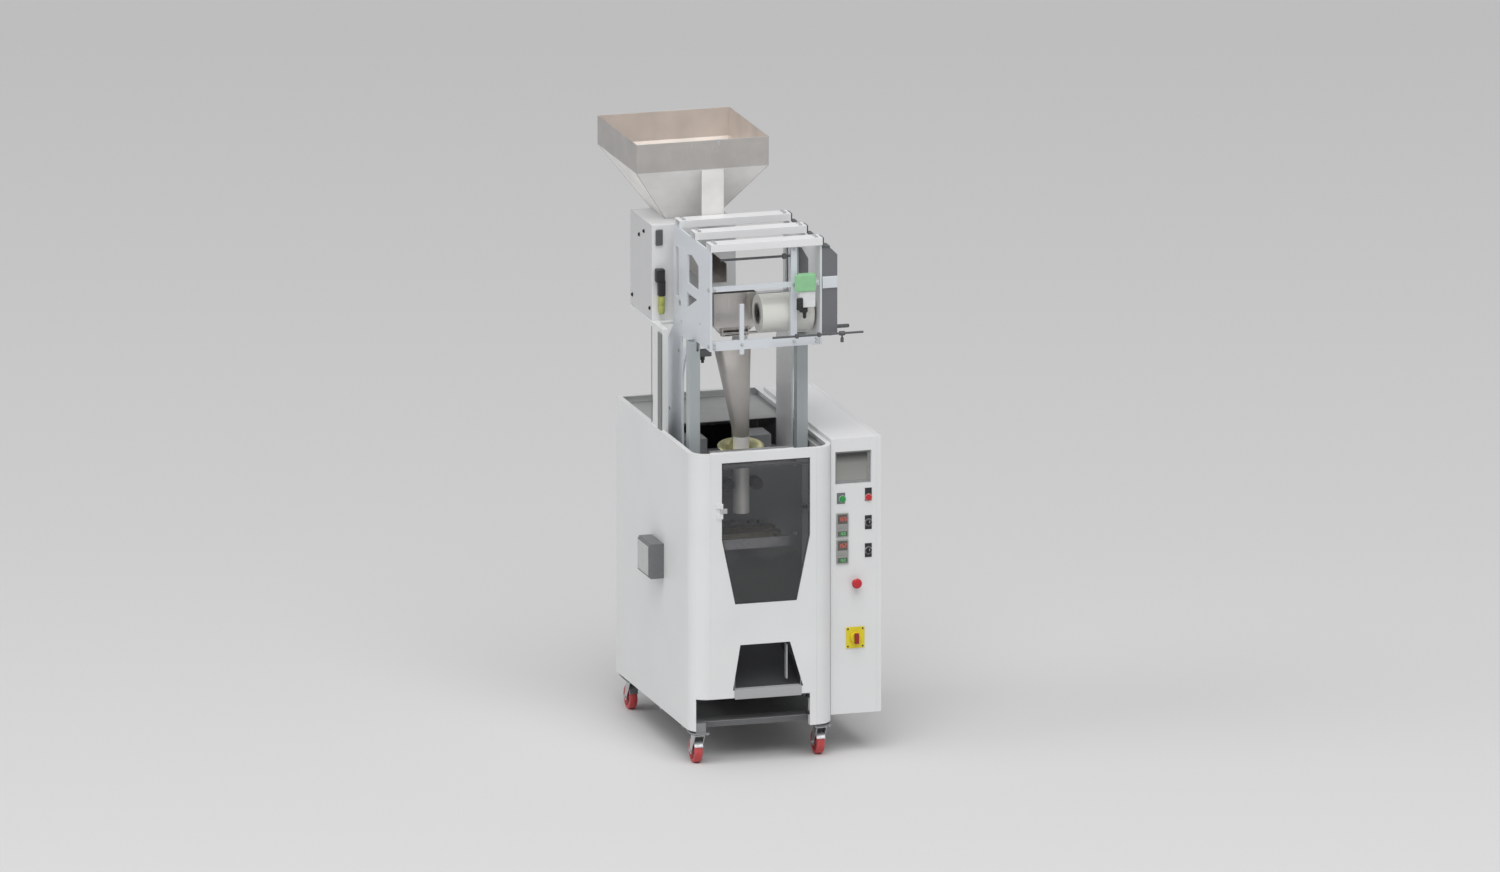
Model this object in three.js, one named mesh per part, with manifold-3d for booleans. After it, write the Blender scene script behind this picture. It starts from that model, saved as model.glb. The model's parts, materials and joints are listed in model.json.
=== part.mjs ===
// A small vertical form fill sealer on castors, in millimetres, +Z up.
// While the pieces are laid out, x runs from the cabinet's left face, y from its front face back
// and z from the floor. The finished machine is then moved so that its origin is the middle of
// its footprint on the floor.
import * as THREE from 'three';
import { mergeVertices } from 'three/addons/utils/BufferGeometryUtils.js';
import Module from 'manifold-3d';

const wasm = await Module();
wasm.setup();

// Clearances, sheet and roundness that many pieces share
const fit = 0.3;
const embed = 1;
const overrun = 4;
const sheet = 3;
const roundSides = 20;
const smallSides = 14;
const cornerSteps = 5;

// Castors
const castorHeight = 130;
const wheelRadius = 50;
const wheelWidth = 32;
const wheelSideGap = 2;
const hubShare = 0.36;
const felloeShare = 0.72;
const crownShare = 0.06;
const hubWidthShare = 0.88;
const webWidthShare = 0.6;
const axleRadius = 6;
const castorTrail = 35;
const castorInset = 42;
const castorFront = 62;
const castorRear = 91;
const castorPlateWidth = 70;
const castorPlateDepth = 80;
const castorPlateThickness = 4;
const raceRadius = 20;
const raceHeight = 6;
const kingPinRadius = 6;
const kingPinHeadRadius = 10;
const kingPinHeadHeight = 4;
const forkCrownThickness = 3.5;
const forkCrownLength = 46;
const forkPlate = 3;
const forkBoss = 15;
const brakePedalLength = 34;
const brakePedalWidth = 24;
const brakePedalThickness = 3;

// Cabinet
const cabinetWidth = 580;
const cabinetDepth = 1050;
const cabinetHeight = 1120;
const cornerRadius = 75;
const skirtLift = 10;
const apronHeight = 140;
const leftLegWidth = 22;
const rightLegWidth = 102;
const legReturn = 25;
const rimLip = 20;
const frameTube = 40;
const frameSideInset = 24;
const frameEndInset = 30;
const frameFrontBeam = 120;
const frameMiddleBeam = 430;

// Window and its door
const windowLeft = 120;
const windowRight = 478;
const windowTopDrop = 37;
const windowStraight = 308;
const windowSillRise = 515;
const windowTaper = 54;
const paneThickness = 5;
const paneGap = 1.5;
const paneProud = 1;
const hingeRadius = 5;
const hingePinRadius = 2.5;
const hingeStandOff = 6;
const hingeLeafWidth = 22;
const hingeLeafThickness = 4;
const hingeGap = 0.5;
const knuckleHeight = 20;
const windowHingeDrop = 191;
const windowHingeOffset = 1;
const windowKnobRadius = 11;
const windowKnobLength = 18;
const windowKnobInset = 24;

// Discharge opening and chute
const outletTopLeft = 195;
const outletTopRight = 397;
const outletBottomLeft = 165;
const outletBottomRight = 450;
const outletSill = 30;
const outletHeight = 181;
const chuteSideGap = 7;
const chuteRise = 165;
const chuteCheek = 45;
const chuteLipDrop = 36;
const chuteTongue = 26;

// Deck and well
const deckRecess = 30;
const wellLeft = 40;
const wellRight = 545;
const wellFront = 20;
const wellBack = 650;
const wellWallDepth = 90;

// Inner plate with its shelf and drive boxes
const innerPlateFront = 440;
const innerPlateThickness = 5;
const shelfDrop = 110;
const shelfDepth = 220;
const shelfThickness = 10;
const driveBoxWidth = 105;
const driveBoxDepth = 120;
const driveBoxHeight = 78;
const driveBoxSetBack = 70;
const driveBoxSpacing = 130;

// Forming tube, collar and their plate
const tubeX = 290;
const tubeY = 308;
const tubeRadius = 32;
const tubeWall = 2;
const tubeLength = 305;
const tubeRise = 20;
const formingDrop = 60;
const formingPlateThickness = 10;
const formingPlateFront = 150;
const formingPlateBack = 395;
const filmGap = 1.5;
const collarWall = 2;
const collarHalfWidth = 90;
const collarHalfDepth = 56;
const collarSetBack = 6;
const collarRise = 40;
const collarBackRise = 20;
const collarSides = 28;
const collarRings = 5;
const tubeArmWidth = 24;
const tubeArmThickness = 8;

// Funnel over the forming tube
const funnelTopRise = 388;
const funnelLeftReach = 101;
const funnelRightReach = 24;
const funnelDepth = 120;
const funnelWall = 2;
const funnelSocket = 30;
const funnelSides = 28;

// Guide roller, pull rollers, seal bar and jaws
const guideRollerY = 172;
const guideRollerRise = 42;
const guideRollerRadius = 20;
const guideRollerLength = 340;
const rollerShaftRadius = 6;
const rollerEarThickness = 8;
const rollerEarWidth = 30;
const rollerEndGap = 1;
const pullRollerRadius = 25;
const pullRollerLength = 50;
const pullRollerDrop = 190;
const pullRollerNip = 1;
const bearingRadius = 16;
const bearingLength = 26;
const sealBarDrop = 140;
const sealBarLength = 140;
const sealBarWidth = 16;
const sealBarDepth = 15;
const sealBarGap = 10;
const sealRodRadius = 6;
const sealRodLength = 60;
const sealCylinderRadius = 18;
const sealCylinderLength = 45;
const jawDrop = 85;
const jawLength = 290;
const jawDepth = 40;
const jawHeight = 30;
const jawOpening = 40;
const jawGrooveDepth = 2;
const jawGrooveHeight = 3;
const jawGrooves = 3;
const jawRodSpacing = 250;
const jawRodRadius = 10;
const jawRodFront = 150;
const jawTieThickness = 12;
const jawTieHeight = 40;
const jawFlangeThickness = 10;
const jawCylinderRadius = 28;
const jawCylinderLength = 50;
const jawPistonRadius = 6;
const jawPistonLength = 57;

// Junction box on the left side
const junctionWidth = 60;
const junctionDepth = 164;
const junctionHeight = 140;
const junctionY = 389;
const junctionDrop = 440;
const junctionLid = 6;
const junctionLidInset = 5;

// Tower
const plateThickness = 8;
const leftPlateX = 86;
const rightPlateX = 531;
const towerHeight = 828;
const towerFront = 43;
const headDepth = 503;
const headHeight = 398;
const legFront = 430;
const legBack = 640;
const legShoulder = 90;
const braceRadius = 230;
const postX = 78;
const rightPostX = 515;
const postY = 250;
const postSize = 44;
const postSlot = 40;
const topBarDepth = 66;
const topBarHeight = 30;
const topBarOverhang = 10;
const topBarRearInset = 18;
const topBarWall = 3;
const crossbarDrop = 145;
const crossbarHeight = 18;
const frontMemberDepth = 22;
const frontMemberInset = 8;
const lowerBeamHeight = 35;
const middlePostX = 428;
const middlePostWidth = 24;
const strutX = 217;
const strutWidth = 18;
const strutHeight = 145;
const strutDrop = 20;
const towerHoleRadius = 8;
const sensorBoxGap = 2;
const sensorBoxWidth = 63;
const sensorBoxDepth = 30;
const sensorBoxHeight = 130;
const sensorBoxDrop = 110;
const ductWidth = 62;
const ductDepth = 495;
const ductHeight = 345;
const ductTopDrop = 13;
const ductChamfer = 30;
const ductBandHeight = 46;
const ductBandDrop = 115;
const ductBandProud = 4;

// Film roll
const reelRadius = 75;
const reelWidth = 210;
const reelCoreRadius = 38;
const reelCoreWall = 5;
const reelCoreProud = 3;
const reelLeft = 311;
const reelY = 155;
const reelDrop = 284;
const reelShaftRadius = 14;
const reelShaftEnd = 5;
const reelChuckLength = 30;
const reelFlangeRadius = 30;
const reelFlangeThickness = 6;

// Weigh bucket, its beam and flap
const bucketX = 246;
const bucketWidth = 172;
const bucketFront = 240;
const bucketDepth = 130;
const bucketLift = 10;
const bucketBoxHeight = 130;
const bucketTaperHeight = 40;
const bucketWall = 2;
const bucketOutletWidth = 92;
const bucketOutletDepth = 86;
const flapThickness = 2.7;
const flapFrontInset = 2;
const dumpShaftRadius = 5;
const dumpShaftRise = 8;
const dumpShaftSetBack = 16;
const dumpShaftEnd = 710;
const dumpEarThickness = 5;
const dumpEarGap = 4;
const dumpEarReach = 9;
const dumpEarHeight = 24;
const flapLugThickness = 4;
const flapLugReach = 6;
const leverX = 632;
const leverWidth = 12;
const leverLength = 34;
const weighBeamSetBack = 70;
const weighBeamDepth = 30;
const weighBeamHeight = 50;
const weighBeamRise = 65;
const loadCellWidth = 60;
const loadCellHeight = 40;

// Feeder
const hopperX = 200;
const hopperY = 800;
const hopperSize = 535;
const hopperRimHeight = 115;
const hopperConeHeight = 324;
const hopperOutlet = 64;
const hopperSpout = 52;
const hopperWall = 2;
const spoutGap = 33;
const hopperBracketWidth = 90;
const hopperBracketOffset = 42;
const hopperBracketFoot = 34;
const hopperBracketThickness = 4;
const standLeft = 10;
const columnThickness = 24;
const columnFront = 440;
const columnDepth = 133;
const platformWidth = 345;
const platformDepth = 332;
const platformThickness = 10;
const platformLap = 13;
const housingInset = 2;
const housingSetBack = 33;
const housingDepth = 297;
const housingHeight = 380;
const troughWidth = 84;
const troughWall = 2;
const troughHeight = 75;
const troughLength = 540;
const troughFront = 340;
const troughRise = 195;
const troughDropGap = 20;
const troughSlotGap = 8;
const vibratorWidth = 90;
const vibratorDepth = 200;
const vibratorBase = 105;
const vibratorSetBack = 65;
const springThickness = 5;
const springOffset = 30;
const springSeat = 10;

// Control cabinet
const controlWidth = 205;
const controlDepth = 915;
const controlHeight = 1103;
const controlFront = 60;
const controlLift = 30;
const controlDoorDepth = 18;
const screenColumn = 91;
const screenWidth = 146;
const screenHeight = 132;
const screenTopDrop = 52;
const screenPocket = 35;
const screenSetBack = 18;
const screenThickness = 12;
const screenBorder = 10;
const screenStep = 1;
const controllerWidth = 48;
const controllerHeight = 96;
const controllerBody = 70;
const controllerBezel = 6;
const controllerFlange = 2;
const leftColumn = 46;
const middleColumn = 99;
const rightColumn = 152;
const upperControllerDrop = 346;
const lowerControllerDrop = 452;
const buttonDrop = 241;
const upperSelectorDrop = 341;
const lowerSelectorDrop = 453;
const stopDrop = 578;
const isolatorDrop = 799;
const buttonRadius = 11;
const buttonProud = 9;
const buttonTail = 8;
const bezelRadius = 15;
const bezelProud = 4;
const selectorGripWidth = 6;
const selectorGripDepth = 10;
const mushroomRadius = 20;
const mushroomHeight = 16;
const mushroomProud = 34;
const isolatorWidth = 75;
const isolatorHeight = 85;
const isolatorPlateThickness = 2.5;
const isolatorKnobRadius = 22;
const isolatorKnobDepth = 12;
const isolatorGripWidth = 12;
const isolatorGripDepth = 14;
const doorHingeRise = 180;
const lockRadius = 11;
const lockProud = 4;
const lockInset = 30;
const mountingPlateGap = 12;
const mountingPlateMargin = 120;
const mountingPlateThickness = 2;
const standOffRadius = 6;
const standOffInset = 20;
const railRows = 3;
const railModules = 6;
const railModuleShare = 0.8;
const railModuleDepth = 60;
const railModuleHeight = 95;

// Rear panel slots
const slotWidth = 150;
const slotHeight = 10;
const slotPitch = 34;
const slotRows = 7;
const slotColumnOffset = 95;
const slotTopDrop = 160;

// Heights and places worked out from the sizes above
const cabinetTop = castorHeight + cabinetHeight;
const skirtBottom = castorHeight + skirtLift;
const frontBottom = castorHeight + apronHeight;
const cabinetInset = sheet + fit;
const frameTop = castorHeight + frameTube;
const wheelZ = wheelRadius * Math.cos(Math.PI / roundSides);
const crownTop = castorHeight - castorPlateThickness - raceHeight - fit;
const sillZ = frontBottom + outletSill;
const deckTop = cabinetTop - deckRecess;
const shelfTop = deckTop - shelfDrop;
const windowTop = cabinetTop - windowTopDrop;
const windowHeight = windowTop - castorHeight - windowSillRise;
const windowHingeX = windowLeft - windowHingeOffset;
const windowHingeZ = windowTop - windowHingeDrop;
const tubeTop = deckTop + tubeRise;
const tubeBottom = tubeTop - tubeLength;
const formingTop = deckTop - formingDrop;
const jawZ = tubeBottom - jawDrop;
const pullRollerZ = tubeTop - pullRollerDrop;
const pullRollerOffset = tubeRadius + pullRollerNip + pullRollerRadius;
const sealBarTop = tubeTop - sealBarDrop;
const sealRodZ = sealBarTop - sealBarLength / 2;
const sealBarFront = tubeY + tubeRadius + sealBarGap;
const towerTop = deckTop + towerHeight;
const headBottom = towerTop - headHeight;
const rightPlateBack = rightPlateX + plateThickness;
const leftPlateInner = leftPlateX + plateThickness;
const frontMemberY = towerFront + frontMemberInset;
const reelZ = towerTop - reelDrop;
const bucketBottom = headBottom + bucketLift;
const bucketY = bucketFront + bucketDepth / 2;
const dumpShaftY = bucketY - bucketOutletDepth / 2 - dumpShaftSetBack;
const dumpShaftZ = bucketBottom + dumpShaftRise;
const bucketTop = bucketBottom + bucketTaperHeight + bucketBoxHeight;
const troughBottom = bucketTop + troughDropGap;
const platformTop = troughBottom - troughRise;
const platformFront = columnFront + columnDepth - platformLap;
const housingFront = platformFront + housingSetBack;
const housingTop = platformTop + fit + housingHeight;
const spoutBottom = troughBottom + troughWall + spoutGap;
const hopperConeBottom = spoutBottom + hopperSpout;
const hopperRimBottom = hopperConeBottom + hopperConeHeight;
const hopperTop = hopperRimBottom + hopperRimHeight;
const controlX = cabinetWidth + fit;
const controlRight = controlX + controlWidth;
const controlBack = controlFront + controlDepth;
const controlBottom = castorHeight + controlLift;
const controlTop = controlBottom + controlHeight;
const controlDoorX = controlRight - controlDoorDepth;
const doorHingeX = controlRight - hingeStandOff;
const doorHingeY = controlBack + hingeStandOff;

// Finishes
const finish = (color, roughness, metalness) => (
  new THREE.MeshStandardMaterial({ color, roughness, metalness })
);
const whitePaint = finish(0xe3e4e2, 0.45, 0);
const towerPaint = finish(0xd6dbe0, 0.4, 0.1);
const greyPaint = finish(0x8b8e90, 0.5, 0.1);
const darkPaint = finish(0x3c3f43, 0.6, 0.1);
const stainless = finish(0xaaa6a2, 0.35, 0.9);
const zinc = finish(0x9fa3a3, 0.4, 0.8);
const bronze = finish(0xa9a57c, 0.4, 0.8);
const redTyre = finish(0xb8484a, 0.6, 0);
const filmWhite = finish(0xe9e9df, 0.35, 0);
const tintedPane = finish(0x5d6063, 0.1, 0);
const blackPlastic = finish(0x1d1d1f, 0.5, 0);
const greenPlastic = finish(0x3f9a4c, 0.4, 0);
const redPlastic = finish(0xb92a2e, 0.4, 0);
const yellowPlastic = finish(0xe4cf1f, 0.4, 0);
const screenGlass = finish(0x6d7070, 0.2, 0);

// Solids: a closed geometry becomes a manifold solid and comes back as a geometry
const weld = 1e-4;

function toSolid(geometry) {
  const bare = geometry.clone();
  bare.deleteAttribute('normal');
  bare.deleteAttribute('uv');
  const merged = mergeVertices(bare, weld);
  const corners = merged.index.array;
  const kept = [];
  for (let i = 0; i < corners.length; i += 3) {
    const [a, b, c] = [corners[i], corners[i + 1], corners[i + 2]];
    if (a !== b && b !== c && c !== a) kept.push(a, b, c);
  }
  const vertProperties = new Float32Array(merged.attributes.position.array);
  return new wasm.Manifold(new wasm.Mesh({ numProp: 3, vertProperties, triVerts: new Uint32Array(kept) }));
}

function toGeometry(solid) {
  const mesh = solid.getMesh();
  const geometry = new THREE.BufferGeometry();
  geometry.setAttribute('position', new THREE.BufferAttribute(new Float32Array(mesh.vertProperties), 3));
  geometry.setIndex(new THREE.BufferAttribute(new Uint32Array(mesh.triVerts), 1));
  return geometry;
}

const join = (...pieces) => toGeometry(pieces.map(toSolid).reduce((whole, piece) => whole.add(piece)));
const cut = (piece, ...tools) => toGeometry(
  tools.map(toSolid).reduce((whole, tool) => whole.subtract(tool), toSolid(piece)),
);
const common = (piece, other) => toGeometry(toSolid(piece).intersect(toSolid(other)));

// Basic forms, each given by where it starts and ends along the three axes
function box(x0, x1, y0, y1, z0, z1) {
  const geometry = new THREE.BoxGeometry(x1 - x0, y1 - y0, z1 - z0);
  return geometry.translate((x0 + x1) / 2, (y0 + y1) / 2, (z0 + z1) / 2);
}

function rodX(radius, x0, x1, y, z, sides = smallSides) {
  const geometry = new THREE.CylinderGeometry(radius, radius, x1 - x0, sides);
  return geometry.rotateZ(Math.PI / 2).translate((x0 + x1) / 2, y, z);
}

function rodY(radius, y0, y1, x, z, sides = smallSides) {
  const geometry = new THREE.CylinderGeometry(radius, radius, y1 - y0, sides);
  return geometry.translate(x, (y0 + y1) / 2, z);
}

function rodZ(radius, z0, z1, x, y, sides = smallSides) {
  const geometry = new THREE.CylinderGeometry(radius, radius, z1 - z0, sides);
  return geometry.rotateX(Math.PI / 2).translate(x, y, (z0 + z1) / 2);
}

const outline = (points) => new THREE.Shape(points.map(([a, b]) => new THREE.Vector2(a, b)));

function extrude(shape, depth) {
  return new THREE.ExtrudeGeometry(shape, { depth, bevelEnabled: false, curveSegments: cornerSteps });
}

// A shape drawn in y and z, pushed along x
function prismX(shape, x0, x1) {
  const turn = new THREE.Matrix4().makeBasis(
    new THREE.Vector3(0, 1, 0),
    new THREE.Vector3(0, 0, 1),
    new THREE.Vector3(1, 0, 0),
  );
  return extrude(shape, x1 - x0).applyMatrix4(turn).translate(x0, 0, 0);
}

// A shape drawn in x and z, pushed along y
function prismY(shape, y0, y1) {
  return extrude(shape, y1 - y0).rotateX(Math.PI / 2).translate(0, y1, 0);
}

// A shape drawn in x and y, pushed along z
function prismZ(shape, z0, z1) {
  return extrude(shape, z1 - z0).translate(0, 0, z0);
}

// A closed body through rings of as many points each, its two end rings filled
function loft(rings) {
  const count = rings[0].length;
  const corners = rings.flat();
  const faces = [];
  for (let r = 0; r < rings.length - 1; r += 1) {
    for (let i = 0; i < count; i += 1) {
      const a = r * count + i;
      const b = r * count + (i + 1) % count;
      faces.push(a, b, b + count, a, b + count, a + count);
    }
  }
  const last = (rings.length - 1) * count;
  for (let i = 1; i < count - 1; i += 1) {
    faces.push(0, i + 1, i);
    faces.push(last, last + i, last + i + 1);
  }
  const geometry = new THREE.BufferGeometry();
  geometry.setAttribute('position', new THREE.Float32BufferAttribute(corners.flat(), 3));
  geometry.setIndex(faces);
  return geometry;
}

const rectangleRing = (x, y, width, depth, z) => [
  [x - width / 2, y - depth / 2, z],
  [x + width / 2, y - depth / 2, z],
  [x + width / 2, y + depth / 2, z],
  [x - width / 2, y + depth / 2, z],
];

// A ring of points round a circle, or pushed out to the rectangle round it
function ring(x, y, halfWidth, halfDepth, z, sides, square) {
  const points = [];
  for (let i = 0; i < sides; i += 1) {
    const angle = (2 * Math.PI * i) / sides;
    const [c, s] = [Math.cos(angle), Math.sin(angle)];
    const push = square ? 1 / Math.max(Math.abs(c), Math.abs(s)) : 1;
    points.push([x + halfWidth * c * push, y + halfDepth * s * push, z]);
  }
  return points;
}

// A body turned round the y axis from a profile of radii and heights, towards the front
function turned(profile, sides, start = 0) {
  const points = profile.map(([radius, height]) => new THREE.Vector2(radius, height));
  return new THREE.LatheGeometry(points, sides, start);
}

const machine = new THREE.Group();

function add(name, geometry, material) {
  const mesh = new THREE.Mesh(geometry, material);
  mesh.name = name;
  machine.add(mesh);
  return mesh;
}

// Cabinet: the outline in plan of everything inside the sheets
function insetOutline(inset) {
  const shape = new THREE.Shape();
  const radius = Math.max(cornerRadius - inset, inset);
  shape.moveTo(inset, cabinetDepth - inset);
  shape.lineTo(inset, cornerRadius);
  shape.absarc(cornerRadius, cornerRadius, radius, Math.PI, 1.5 * Math.PI, false);
  shape.absarc(cabinetWidth - cornerRadius, cornerRadius, radius, 1.5 * Math.PI, 2 * Math.PI, false);
  shape.lineTo(cabinetWidth - inset, cabinetDepth - inset);
  return shape;
}

// A side sheet with its rounded front corner, in plan, on the left or mirrored to the right
function sideOutline(thickness, mirrored) {
  const shape = new THREE.Shape();
  shape.moveTo(0, cabinetDepth);
  shape.lineTo(0, cornerRadius);
  shape.absarc(cornerRadius, cornerRadius, cornerRadius, Math.PI, 1.5 * Math.PI, false);
  shape.absarc(cornerRadius, cornerRadius, cornerRadius - thickness, 1.5 * Math.PI, Math.PI, true);
  shape.lineTo(thickness, cabinetDepth);
  if (!mirrored) return shape;
  const points = shape.getPoints(cornerSteps);
  return outline(points.map((point) => [cabinetWidth - point.x, point.y]));
}

function sidePanel(mirrored) {
  return join(
    prismZ(sideOutline(sheet, mirrored), skirtBottom, cabinetTop),
    prismZ(sideOutline(rimLip, mirrored), cabinetTop - sheet, cabinetTop),
  );
}

function baseFrame() {
  const [railLeft, railRight] = [frameSideInset, cabinetWidth - frameSideInset];
  const rearBeam = cabinetDepth - frameEndInset - frameTube;
  const members = [
    box(railLeft, railLeft + frameTube, frameEndInset, rearBeam + frameTube, castorHeight, frameTop),
    box(railRight - frameTube, railRight, frameEndInset, rearBeam + frameTube, castorHeight, frameTop),
  ];
  for (const y of [frameFrontBeam, frameMiddleBeam, rearBeam]) {
    members.push(box(0, cabinetWidth, y, y + frameTube, castorHeight, frameTop));
  }
  const frame = common(join(...members), prismZ(insetOutline(cabinetInset), 0, cabinetTop));
  const mounts = castorPlaces().flatMap(({ x, y }) => castorPlate(x, y));
  return join(frame, ...mounts);
}

// Top plate, ball race and king pin of one castor, bolted up under the frame
function castorPlate(x, y) {
  const plateBottom = castorHeight - castorPlateThickness;
  const raceBottom = plateBottom - raceHeight;
  const headTop = crownTop - forkCrownThickness - fit;
  const [w, d] = [castorPlateWidth / 2, castorPlateDepth / 2];
  return [
    box(x - w, x + w, y - d, y + d, plateBottom, castorHeight + embed),
    rodZ(raceRadius, raceBottom, plateBottom + embed, x, y),
    rodZ(kingPinRadius, headTop - embed, raceBottom + embed, x, y),
    rodZ(kingPinHeadRadius, headTop - kingPinHeadHeight, headTop, x, y),
  ];
}

function castorPlaces() {
  const [left, right] = [castorInset, cabinetWidth - castorInset];
  const rear = cabinetDepth - castorRear;
  return [
    { name: 'front_left', x: left, y: castorFront, braked: false },
    { name: 'front_right', x: right, y: castorFront, braked: false },
    { name: 'rear_left', x: left, y: rear, braked: true },
    { name: 'rear_right', x: right, y: rear, braked: true },
  ];
}

function castorFork(x, y, braked) {
  const crownBottom = crownTop - forkCrownThickness;
  const inner = wheelWidth / 2 + wheelSideGap;
  const outer = inner + forkPlate;
  const axleY = y + castorTrail;
  const half = forkCrownLength / 2;
  const cheek = outline([
    [y - half, crownTop],
    [y - half, crownBottom],
    [axleY - forkBoss, wheelZ],
    [axleY - forkBoss / 2, wheelZ - forkBoss],
    [axleY + forkBoss / 2, wheelZ - forkBoss],
    [axleY + forkBoss, wheelZ],
    [y + half, crownTop],
  ]);
  const pieces = [
    box(x - outer, x + outer, y - half, y + half, crownBottom, crownTop),
    prismX(cheek, x - outer, x - inner),
    prismX(cheek, x + inner, x + outer),
    rodX(axleRadius, x - outer, x + outer, axleY, wheelZ),
  ];
  if (braked) {
    const w = brakePedalWidth / 2;
    const back = y + half + brakePedalLength;
    pieces.push(box(x - w, x + w, y + half - embed, back, crownTop - brakePedalThickness, crownTop));
  }
  const pinHole = rodZ(kingPinRadius + fit, crownBottom - overrun, crownTop + overrun, x, y);
  return cut(join(...pieces), pinHole);
}

function castorWheel(x, y) {
  const half = wheelWidth / 2;
  const bore = axleRadius + fit;
  const [hub, felloe] = [wheelRadius * hubShare, wheelRadius * felloeShare];
  const [hubHalf, webHalf] = [half * hubWidthShare, half * webWidthShare];
  const crown = wheelRadius * crownShare;
  const side = [
    [bore, hubHalf],
    [hub, hubHalf],
    [hub, webHalf],
    [felloe, webHalf],
    [felloe, half],
    [wheelRadius - crown, half],
    [wheelRadius, half - crown],
  ];
  const mirrored = side.map(([radius, height]) => [radius, -height]).reverse();
  const profile = [...side, ...mirrored, side[0]].reverse();
  const wheel = turned(profile, roundSides, Math.PI / roundSides);
  return wheel.rotateZ(Math.PI / 2).translate(x, y + castorTrail, wheelZ);
}

function windowOutline(inset) {
  const [left, right] = [windowLeft + inset, windowRight - inset];
  const [top, bottom] = [windowTop - inset, windowTop - windowHeight + inset];
  const bend = windowTop - windowStraight;
  return [
    [left, top],
    [left, bend],
    [left + windowTaper, bottom],
    [right - windowTaper, bottom],
    [right, bend],
    [right, top],
  ];
}

function frontPanel() {
  const [left, right] = [cornerRadius + fit, cabinetWidth - cornerRadius - fit];
  const legLeft = cabinetWidth - rightLegWidth;
  const shape = outline([
    [left, cabinetTop],
    [left, frontBottom],
    [legLeft, frontBottom],
    [legLeft, skirtBottom],
    [right, skirtBottom],
    [right, cabinetTop],
  ]);
  const windowHole = outline(windowOutline(0));
  const outletHole = outline([
    [outletTopLeft, sillZ + outletHeight],
    [outletBottomLeft, sillZ],
    [outletBottomRight, sillZ],
    [outletTopRight, sillZ + outletHeight],
  ]);
  const openings = [windowHole, outletHole].map((hole) => prismY(hole, -overrun, sheet + overrun));
  const [hx, hz] = [windowHingeX, windowHingeZ];
  const end = knuckleHeight * 1.5;
  const start = knuckleHeight / 2 + hingeGap;
  const hinge = [rodZ(hingePinRadius, hz - end, hz + end, hx, -hingeStandOff)];
  for (const [z0, z1] of [[hz - end, hz - start], [hz + start, hz + end]]) {
    hinge.push(rodZ(hingeRadius, z0, z1, hx, -hingeStandOff));
    hinge.push(box(hx - hingeLeafWidth, hx, -hingeLeafThickness, embed, z0, z1));
  }
  return join(
    cut(prismY(shape, 0, sheet), ...openings),
    box(left, right, 0, rimLip, cabinetTop - sheet, cabinetTop),
    box(legLeft, legLeft + sheet, 0, legReturn, skirtBottom, frontBottom),
    ...hinge,
  );
}

function windowDoor() {
  const [hx, hz] = [windowHingeX, windowHingeZ];
  const half = knuckleHeight / 2;
  const leafBack = -paneProud + embed / 2;
  const knobX = windowRight - windowKnobInset;
  const door = join(
    prismY(outline(windowOutline(paneGap)), -paneProud, paneThickness - paneProud),
    rodZ(hingeRadius, hz - half, hz + half, hx, -hingeStandOff),
    box(hx, hx + hingeLeafWidth, leafBack - hingeLeafThickness, leafBack, hz - half, hz + half),
    rodY(windowKnobRadius, -paneProud - windowKnobLength, 0, knobX, hz),
  );
  return cut(door, rodZ(hingePinRadius + fit, hz - half - overrun, hz + half + overrun, hx, -hingeStandOff));
}

function rearPanel() {
  const [left, right] = [cabinetInset, cabinetWidth - cabinetInset];
  const [lipLeft, lipRight] = [rimLip + fit, cabinetWidth - rimLip - fit];
  const shoulder = cabinetTop - sheet - fit;
  const shape = outline([
    [left, shoulder],
    [left, skirtBottom],
    [right, skirtBottom],
    [right, shoulder],
    [lipRight, shoulder],
    [lipRight, cabinetTop],
    [lipLeft, cabinetTop],
    [lipLeft, shoulder],
  ]);
  const [front, back] = [cabinetDepth - sheet, cabinetDepth];
  const slots = [];
  for (let row = 0; row < slotRows; row += 1) {
    const z = cabinetTop - slotTopDrop - row * slotPitch;
    for (const side of [-1, 1]) {
      const x = cabinetWidth / 2 + side * slotColumnOffset;
      const half = slotWidth / 2;
      slots.push(box(x - half, x + half, front - overrun, back + overrun, z - slotHeight, z));
    }
  }
  return join(
    cut(prismY(shape, front, back), ...slots),
    box(lipLeft, lipRight, cabinetDepth - rimLip, cabinetDepth, cabinetTop - sheet, cabinetTop),
  );
}

function topDeck() {
  const plate = prismZ(insetOutline(cabinetInset), deckTop - sheet, deckTop);
  const wellBottom = deckTop - wellWallDepth - overrun;
  const well = box(wellLeft, wellRight, wellFront, wellBack, wellBottom, deckTop + overrun);
  const walls = box(
    wellLeft - sheet,
    wellRight + sheet,
    wellFront,
    wellBack,
    deckTop - wellWallDepth,
    deckTop - embed,
  );
  const inside = prismZ(insetOutline(cabinetInset), 0, cabinetTop);
  return common(cut(join(plate, walls), well), inside);
}

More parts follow.
